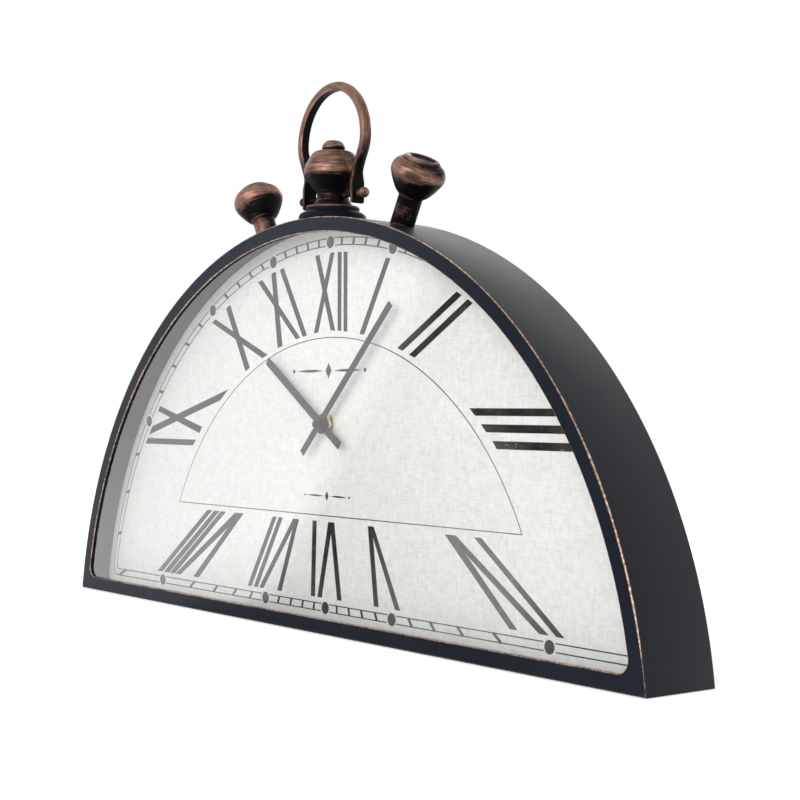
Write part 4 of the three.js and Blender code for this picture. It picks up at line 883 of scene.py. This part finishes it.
def centre_line():
    """The half-round line about the hands."""
    rise = PLATE_TOP - PLATE_FOOT
    radius = (PLATE_HALF ** 2 + rise ** 2) / (2 * rise)
    centre = PLATE_TOP - radius
    start = asin((PLATE_FOOT - centre) / radius)
    turns = [start + (pi - 2 * start) * i / ARC_STEPS for i in range(ARC_STEPS + 1)]
    arch = [(radius * cos(turn), centre + radius * sin(turn)) for turn in turns]
    ends = [(PLATE_HALF, PLATE_FOOT), (-PLATE_HALF, PLATE_FOOT)]
    print_layer("centre_line", [strip(arch, PLATE_LINE), strip(ends, PLATE_LINE)])


def ornaments():
    """A diamond between two leaves and two beads, above and below the hands."""
    ornament = []
    for middle, scale in ORNAMENTS:
        tall, wide = DIAMOND_RISE * scale, DIAMOND_REACH * scale
        ornament.append([(0, middle + tall), (wide, middle), (0, middle - tall), (-wide, middle)])
        for side in (-1, 1):
            x = side * LEAF_PLACE * scale
            ornament.append(leaf(x, middle, LEAF_LENGTH * scale, LEAF_HEIGHT * scale))
            ornament.append(disc(side * BEAD_PLACE * scale, middle, BEAD_RADIUS * scale, ORNAMENT_STEPS))
    print_layer("dial_ornament", ornament)


# Crown, bow and buttons

def standing(x, z, lean):
    """A place on the band's top line, with its axis leaning over to the right."""
    return Matrix.Translation((x, TOP_LINE, z)) @ Matrix.Rotation(lean, 4, "Y")


def on_case(place):
    """Height along the axis of a place at which a point beside the axis meets the case's curve."""
    axis = (place.to_3x3() @ Vector((0, 0, 1))).normalized()

    def height(x, y):
        p = place @ Vector((x, y, 0))
        px, pz = p.x, p.z - ARC_CENTRE
        reach = CASE_RADIUS + SEAT_GAP
        along = px * axis.x + pz * axis.z
        return -along + sqrt(along ** 2 - px ** 2 - pz ** 2 + reach ** 2)

    return height


def crown():
    """The flange, the turned knob on it, and the pin across the knob, with its nut, that carries the bow."""
    top = standing(0, CASE_HEIGHT, 0)
    flange = Shell().lathe([
        (FLANGE_BORE, None), (17.4, None, -0.4), (17.8, 0.35, -0.4),
        *spline([(17.8, 1.1, -0.4), (17.1, 3.0, -0.25), (15.0, 4.3, -0.4)], 12), (14.4, 4.45, -0.5),
        *spline([(FLANGE_RIM, 4.8, -0.5), (FLANGE_RIM, 5.6, -0.4), (FLANGE_RIM, 6.4, -0.1)], 4)[:-1],
        *rounded(FLANGE_RIM, FLANGE_TOP, 1, 0.5), (12.6, FLANGE_TOP, -0.2), (10.9, FLANGE_TOP, -0.4),
        (FLANGE_BORE, FLANGE_TOP),
    ], top, foot=on_case(top), front=0.12)
    piece("crown_base", flange, DARK_BRONZE, "case", ["crown_flange"])

    knob = Shell().lathe([
        (0, SPIGOT_END), (KNOB_SPIGOT, SPIGOT_END), (KNOB_SPIGOT, KNOB_SEAT), (10.1, KNOB_SEAT), (10.3, 7.9),
        # The rub is low under the bulb and high on its belt and top: wear, with painted shade under the bulb
        # and painted highlight on the belt.
        *spline([(10, 8.55, -0.3), (8.3, 13.4, -0.1), (12.3, 19, -0.7), (14.75, 22.45, -0.15),
                 (15.2, 25.8, 0.45), (14, 30.2, 0.4), (10.5, 35.4, 0.25), (6.1, 36.8, 0.15)], 70),
        (5.8, 36.95), (5.7, 37.2), (5.85, 37.5),
        *spline([(6.1, 37.9, 0.1), (5.65, 39.7, 0.6), (4.2, 41.4, 0.5), (2, 42.2, 0.45),
                 (0, 42.4, 0.4)], 24),
    ], top, front=0.26)
    piece("crown", knob, BRONZE, "case", ["crown_knob"])

    across = standing(0, CASE_HEIGHT + PIN_HEIGHT, pi / 2)
    seat = EAR_PLACE + EAR_THICKNESS / 2 + FIT
    start, end = -seat - PIN_COLLAR, seat + PIN_COLLAR + FIT
    shaft = [(0, start), (PIN_RADIUS, start), (PIN_RADIUS, seat, 0.1)]
    pin = Shell().lathe(shaft + ball_end(PIN_BALL, seat), across, SMALL_SIDES)
    piece("handle_pin", pin, BRONZE, "case", ["bow_pin"])
    nut = Shell().lathe([(PIN_BORE, seat), *ball_end(NUT_BALL, seat), (0, end), (PIN_BORE, end)],
                        across @ Matrix.Rotation(pi, 4, "X"), SMALL_SIDES)
    piece("handle_pin_nut", nut, BRONZE, "case", ["bow_pin_nut"])


def ball_end(ball, start):
    """A collar that runs into a ball, as a turned profile."""
    middle = start + PIN_COLLAR + sqrt(ball ** 2 - PIN_COLLAR_RADIUS ** 2)
    first = pi - asin(PIN_COLLAR_RADIUS / ball)
    run = [(PIN_COLLAR_RADIUS - 0.2, start, 0.2), (PIN_COLLAR_RADIUS, start + 0.2, 0.4)]
    for i in range(BALL_STEPS):
        turn = first * (1 - i / BALL_STEPS)
        run.append((ball * sin(turn), middle + ball * cos(turn), 0.35 + 0.35 * i / BALL_STEPS))
    return run + [(0, middle + ball, 0.7)]


def bow_line():
    """Points along the bow's middle line, an even distance apart, as x and height above the case."""
    foot, bend = PIN_HEIGHT - EAR_DROP, PIN_HEIGHT + EAR_RISE
    leg, rise = (BOW_WIDTH - BOW_THICKNESS) / 2, BOW_SPRING - bend
    top = BOW_TOP - BOW_THICKNESS / 2 - BOW_SPRING
    half = [(-EAR_PLACE, foot + (bend - foot) * i / EAR_POINTS) for i in range(EAR_POINTS)]
    handles = [(-EAR_PLACE, bend), (-EAR_PLACE, bend + rise * 0.35), (-leg, BOW_SPRING - rise * 0.4),
               (-leg, BOW_SPRING)]
    for i in range(BEND_POINTS):
        t = i / BEND_POINTS
        weights = ((1 - t) ** 3, 3 * t * (1 - t) ** 2, 3 * t * t * (1 - t), t ** 3)
        half.append(tuple(sum(w * h[c] for w, h in zip(weights, handles)) for c in (0, 1)))
    arch = [(-leg * cos(turn), BOW_SPRING + top * sin(turn))
            for turn in (pi * i / ARCH_POINTS for i in range(ARCH_POINTS + 1))]
    dense = half + arch + [(-x, z) for x, z in reversed(half)]
    lengths = [0.0, *accumulate(map(dist, dense, dense[1:]))]
    even, k = [], 0
    for i in range(BOW_RINGS + 1):
        want = lengths[-1] * i / BOW_RINGS
        while k < len(dense) - 2 and lengths[k + 1] < want:
            k += 1
        t = (want - lengths[k]) / (lengths[k + 1] - lengths[k])
        even.append(tuple(a + (b - a) * t for a, b in zip(dense[k], dense[k + 1])))
    return even, lengths[-1]


def handle():
    """The bow: flat ears that fill out to a half-round strip, with a hole in each ear for the pin."""
    line, length = bow_line()
    flat = EAR_DROP + EAR_RISE
    rings, rubs, brushes = [], [], []
    for i, (x, z) in enumerate(line):
        tx, tz = heading(line, i)
        along = min(i, BOW_RINGS - i) / BOW_RINGS * length
        t = min(max((along - flat + BOW_TURN / 2) / BOW_TURN, 0), 1)
        fill = t * t * (3 - 2 * t)
        tip = min(along / EAR_ROUND, 1)
        width = (EAR_WIDTH + (BOW_BAND - EAR_WIDTH) * fill) / 2
        width -= EAR_ROUND * (1 - sqrt(1 - (1 - tip) ** 2))
        thick = EAR_THICKNESS + (BOW_THICKNESS - EAR_THICKNESS) * fill
        power = EAR_POWER + (BOW_POWER - EAR_POWER) * fill
        past = BOW_FLAT * fill
        high = min(max((along - flat) / BOW_WEAR_RISE, 0), 1)
        ring, rub, brush = [], [], []
        for k in range(BOW_FACETS + 1):
            turn = (pi + 2 * past) * k / BOW_FACETS - past
            across = width * cos(turn)
            rise = sin(turn) if turn < 0 or turn > pi else sin(turn) ** power
            out = thick * ((rise + sin(past)) / (1 + sin(past)) - 0.5)
            ring.append((x - tz * out, TOP_LINE + across, CASE_HEIGHT + z + tx * out))
            share = 0.6 if k in (0, BOW_FACETS) else 1
            rub.append(share * (1.05 * high - 0.4) + abs(cos(turn)) ** 8 * (0.7 - 0.4 * high))
            brush.append((i / BOW_RINGS * length, BRUSH_ROUND, across + out))
        for k in range(1, BOW_FACETS):
            ring.append(tuple(a + (b - a) * k / BOW_FACETS for a, b in zip(ring[BOW_FACETS], ring[0])))
            rub.append(-0.5)
            brush.append((i / BOW_RINGS * length, BRUSH_FLAT, width * (2 * k / BOW_FACETS - 1)))
        rings.append(ring)
        rubs.append(rub)
        brushes.append(brush)
    shell = Shell().rings(rings, rubs, brushes)
    made = piece("handle", shell, BOW_BRONZE, "bow", ["bow"], SOFT_EDGE)
    drill = Shell().lathe([(0, -BOW_WIDTH), (PIN_BORE, -BOW_WIDTH), (PIN_BORE, BOW_WIDTH), (0, BOW_WIDTH)],
                          standing(0, CASE_HEIGHT + PIN_HEIGHT, pi / 2), HOLE_SIDES)
    carve(made, piece("drill", drill, BOW_BRONZE, None), SOFT_EDGE)


def button(side, name, worn):
    """A mushroom on a stem, to the left or right of the crown."""
    turn = pi / 2 - side * BUTTON_ANGLE
    x, z = on_arc(CASE_RADIUS, turn)
    leaning = standing(x, z, side * BUTTON_LEAN)
    upright = standing(x, z, side * BUTTON_ANGLE)
    stud = STEM_LENGTH + STEM_STUD_LENGTH
    stem = Shell().lathe([
        (0, None), (STEM_RADIUS, None, 0.05),
        *spline([(STEM_RADIUS, 2.5, -0.45), (STEM_RADIUS, 6.5, 0.1), (STEM_RADIUS, 10, 0.0),
                 (STEM_RADIUS, STEM_LENGTH, -0.5)], 16),
        (STEM_STUD, STEM_LENGTH), (STEM_STUD, stud), (0, stud),
    ], leaning, foot=on_case(leaning), front=0.25 + worn)
    stem.lathe([(0, SPIGOT_END), (BUTTON_SPIGOT, SPIGOT_END), (BUTTON_SPIGOT, SPIGOT_TOP), (0, SPIGOT_TOP)],
               upright, HOLE_SIDES)
    piece(f"{name}_post", stem, STEM_BRONZE, "case", [f"{name}_stem"])

    seat, crest, r = HEAD_SEAT, HEAD_SEAT + HEAD_LENGTH, HEAD_RADIUS
    bore, socket = STEM_STUD + FIT, stud + FIT
    head = Shell().lathe([
        (0, socket), (bore, socket), (bore, seat), (STEM_RADIUS, seat),
        # The rub is low under the head and high on its belt: wear, with painted shade under the head.
        *spline([(STEM_RADIUS + 0.4, seat + 0.4, 0.0), (r * 0.69, seat + HEAD_LENGTH * 0.17, -0.55),
                 (r * 0.95, seat + HEAD_LENGTH * 0.48, worn / 2 - 0.05), (r, seat + HEAD_LENGTH * 0.66, 0.7),
                 (r * 0.9, seat + HEAD_LENGTH * 0.82, 0.2), (9.6, crest - 1.5, 0.0)], 60),
        *spline([(9.35, crest - 1.1, 0.05), (8.7, crest - 0.35, 0.3), (7.6, crest, 0.45),
                 (6.5, crest - 0.4, 0.3), (5.4, crest - 1.05, 0.1), (2.8, crest - 1.4, 0.3),
                 (0, crest - 1.5, 0.35)], 36),
    ], leaning, front=0.35)
    piece(f"{name}_knob", head, BRONZE, "case", [f"{name}_head"])


# Hands and their nuts

def hands():
    cap_low, cap_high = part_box("cap_nut")
    back, front = cap_high.y / MM, cap_low.y / MM
    radius = (cap_high.x - cap_low.x) / 2 / MM
    place = Matrix.Translation((0, 0, DIAL_CENTRE)) @ Matrix.Rotation(pi / 2, 4, "X")
    depth = CAP_BORE_DEPTH - back
    cap = Shell().lathe([
        (0, depth), (CAP_BORE, depth), (CAP_BORE, -back), (radius - 0.15, -back),
        *spline([(radius, 0.15 - back), (radius, 1.1 - back), (radius * 0.78, 2.5 - back),
                 (radius * 0.4, 3.05 - back), (0, -front)], 24),
    ], place, SMALL_SIDES)
    piece("cap", cap, HAND_GLOSS, "minute_hand", ["cap_nut"])
    for hand, bore, reach, proud in (("minute_hand", radius + 0.1, 4.3, 0.3), ("hour_hand", 2.6, 5.1, 0.15)):
        low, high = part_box(hand)
        foot, crest = BOSS_SUNK - high.y / MM, proud - low.y / MM
        profile = [(bore, foot), (reach, foot), *rounded(reach, crest, BOSS_ROUND, 0), (bore, crest)]
        boss = Shell().lathe(profile, place, BOSS_SIDES)
        piece(hand.replace("hand", "boss"), boss, HAND_GLOSS, hand)


def soften(node, width):
    """Rounds a carried-over solid's edges a little, so that they catch the light."""
    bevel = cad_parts[node].modifiers.new("edges", "BEVEL")
    bevel.width = width * MM
    bevel.segments = 2
    bevel.limit_method = "ANGLE"
    bevel.angle_limit = radians(40)


def dress_nodes():
    finishes = {
        CASE_BLACK: ["base_plate", "rear_frame", "back_panel"],
        ZINC: [*(f"dial_clip_{number}" for number in range(1, 5)), "crown_retainer", "left_button_retainer",
               "right_button_retainer", "stator", "quartz_crystal", "contact_positive", "contact_negative"],
        GLASS: ["glass_pane"],
        PAPER: ["dial_paper"],
        FIBREBOARD: ["dial_board"],
        HAND_BLACK: ["hour_hand", "minute_hand"],
        BRASS: ["centre_bush", "hex_nut", "dial_washer", "minute_arbor"],
        RUBBER: ["rubber_washer"],
        BLACK_PLASTIC: ["movement_case", "movement_cover", "setting_knob"],
        WHITE_PLASTIC: ["movement_plate", "hour_wheel", "intermediate_wheel", "setting_wheel",
                        "centre_wheel", "third_wheel", "second_wheel", "fifth_wheel"],
        MAGNET: ["rotor"],
        COPPER_WIRE: ["coil"],
        CIRCUIT: ["circuit_board"],
        BATTERY: ["battery"],
    }
    for material, names in finishes.items():
        for name in names:
            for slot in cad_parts[name].material_slots:
                slot.link = "OBJECT"
                slot.material = material
    for name, width in (("hour_hand", 0.1), ("minute_hand", 0.1), ("hex_nut", 0.18), ("dial_washer", 0.1)):
        soften(name, width)


# Stage, light and camera

def stage():
    """A white floor that glows a little where it is seen, as an overlit studio's does."""
    mesh = bpy.data.meshes.new("floor")
    corners = [(x * FLOOR_HALF, y * FLOOR_HALF, 0) for x, y in ((-1, -1), (1, -1), (1, 1), (-1, 1))]
    mesh.from_pydata(corners, [], [(0, 1, 2, 3)])
    made = add_object("floor", mesh)
    made.location.z = -FLOOR_DROP
    s = Surface("floor", Base_Color=(0.82, 0.82, 0.82, 1), Roughness=0.9, Specular_IOR_Level=0.0)
    glow = s.node("Emission", Strength=s.times(s.seen(), FLOOR_GLOW))
    s.show(s.node("AddShader", s.shader.outputs[0], glow.outputs[0]))
    mesh.materials.append(s.material)


def dark_card():
    """A card in front of the clock that takes the studio's white out of the glass on the right."""
    mesh = bpy.data.meshes.new("card")
    (low_x, low_z), (high_x, high_z), _, (end_x, end_z) = CARD
    foot = [(low_x, CASE_FRONT - 1, low_z), (end_x, CASE_FRONT - 1, end_z)]
    points = [(x, CARD_PLACE, z) for x, z in CARD] + foot
    mesh.from_pydata([[c * MM for c in p] for p in points], [], [(0, 1, 2, 3), (0, 3, 5, 4)])
    made = add_object("card", mesh)
    s = Surface("card", Base_Color=(0.05, 0.05, 0.05, 1), Roughness=1.0, Specular_IOR_Level=0.0)
    x, _, z = s.axes()
    slope = (high_x - low_x) / (high_z - low_z)
    start = (low_x - low_z * slope) * MM
    side = s.spread(s.sum(x, z, -slope), start, start + CARD_FADE * MM)
    low = s.spread(z, 0, CARD_FADE * MM, CARD_FOOT, 1)
    end = s.spread(x, (end_x - CARD_END_FADE) * MM, end_x * MM, 1, 0)
    s.show_where(s.times(s.times(side, low), end))
    mesh.materials.append(s.material)
    for sight in ("camera", "diffuse", "transmission", "volume_scatter", "shadow"):
        setattr(made, "visible_" + sight, False)


def light():
    """White surroundings, a little dimmer as light than to the eye, and three lamps."""
    world = bpy.data.worlds.new("studio")
    world.use_nodes = True
    room = Nodes(world.node_tree)
    fill, white = (room.node("Background", (1, 1, 1, 1), strength) for strength in (WORLD_FILL, 1))
    mix = room.node("MixShader", room.seen(), fill.outputs[0], white.outputs[0])
    room.node("OutputWorld", mix.outputs[0])
    bpy.context.scene.world = world
    for name, settings in LAMPS.items():
        lamp(name, *settings)


def lamp(name, place, size, power):
    """A soft rectangular lamp turned to the clock."""
    data = bpy.data.lights.new(name, "AREA")
    data.shape = "RECTANGLE"
    data.size, data.size_y = size
    data.energy = power
    made = add_object(name, data)
    made.location = place
    made.rotation_mode = "QUATERNION"
    made.rotation_quaternion = (LAMP_TARGET - made.location).to_track_quat("-Z", "Y")


def camera():
    a, e, r = CAMERA_AZIMUTH, CAMERA_ELEVATION, CAMERA_ROLL
    right = Vector((cos(a), sin(a), 0))
    up = Vector((-sin(e) * sin(a), sin(e) * cos(a), cos(e)))
    back = right.cross(up)
    x_axis = right * cos(r) + up * sin(r)
    y_axis = up * cos(r) - right * sin(r)
    data = bpy.data.cameras.new("camera")
    data.lens, data.sensor_width = CAMERA_LENS, CAMERA_SENSOR
    data.clip_start, data.clip_end = 0.01, 100
    made = add_object("camera", data)
    made.matrix_world = Matrix((x_axis, y_axis, back)).transposed().to_4x4()
    made.location = CAMERA_PLACE
    bpy.context.scene.camera = made


bpy.context.scene.view_settings.view_transform = "Standard"
camera()
light()
stage()
dark_card()
band()
bezel()
lining()
back_screws()
numerals()
hours_and_minutes()
centre_line()
ornaments()
crown()
handle()
button(-1, "left_button", LEFT_WEAR)
button(1, "right_button", 0)
hands()
dress_nodes()
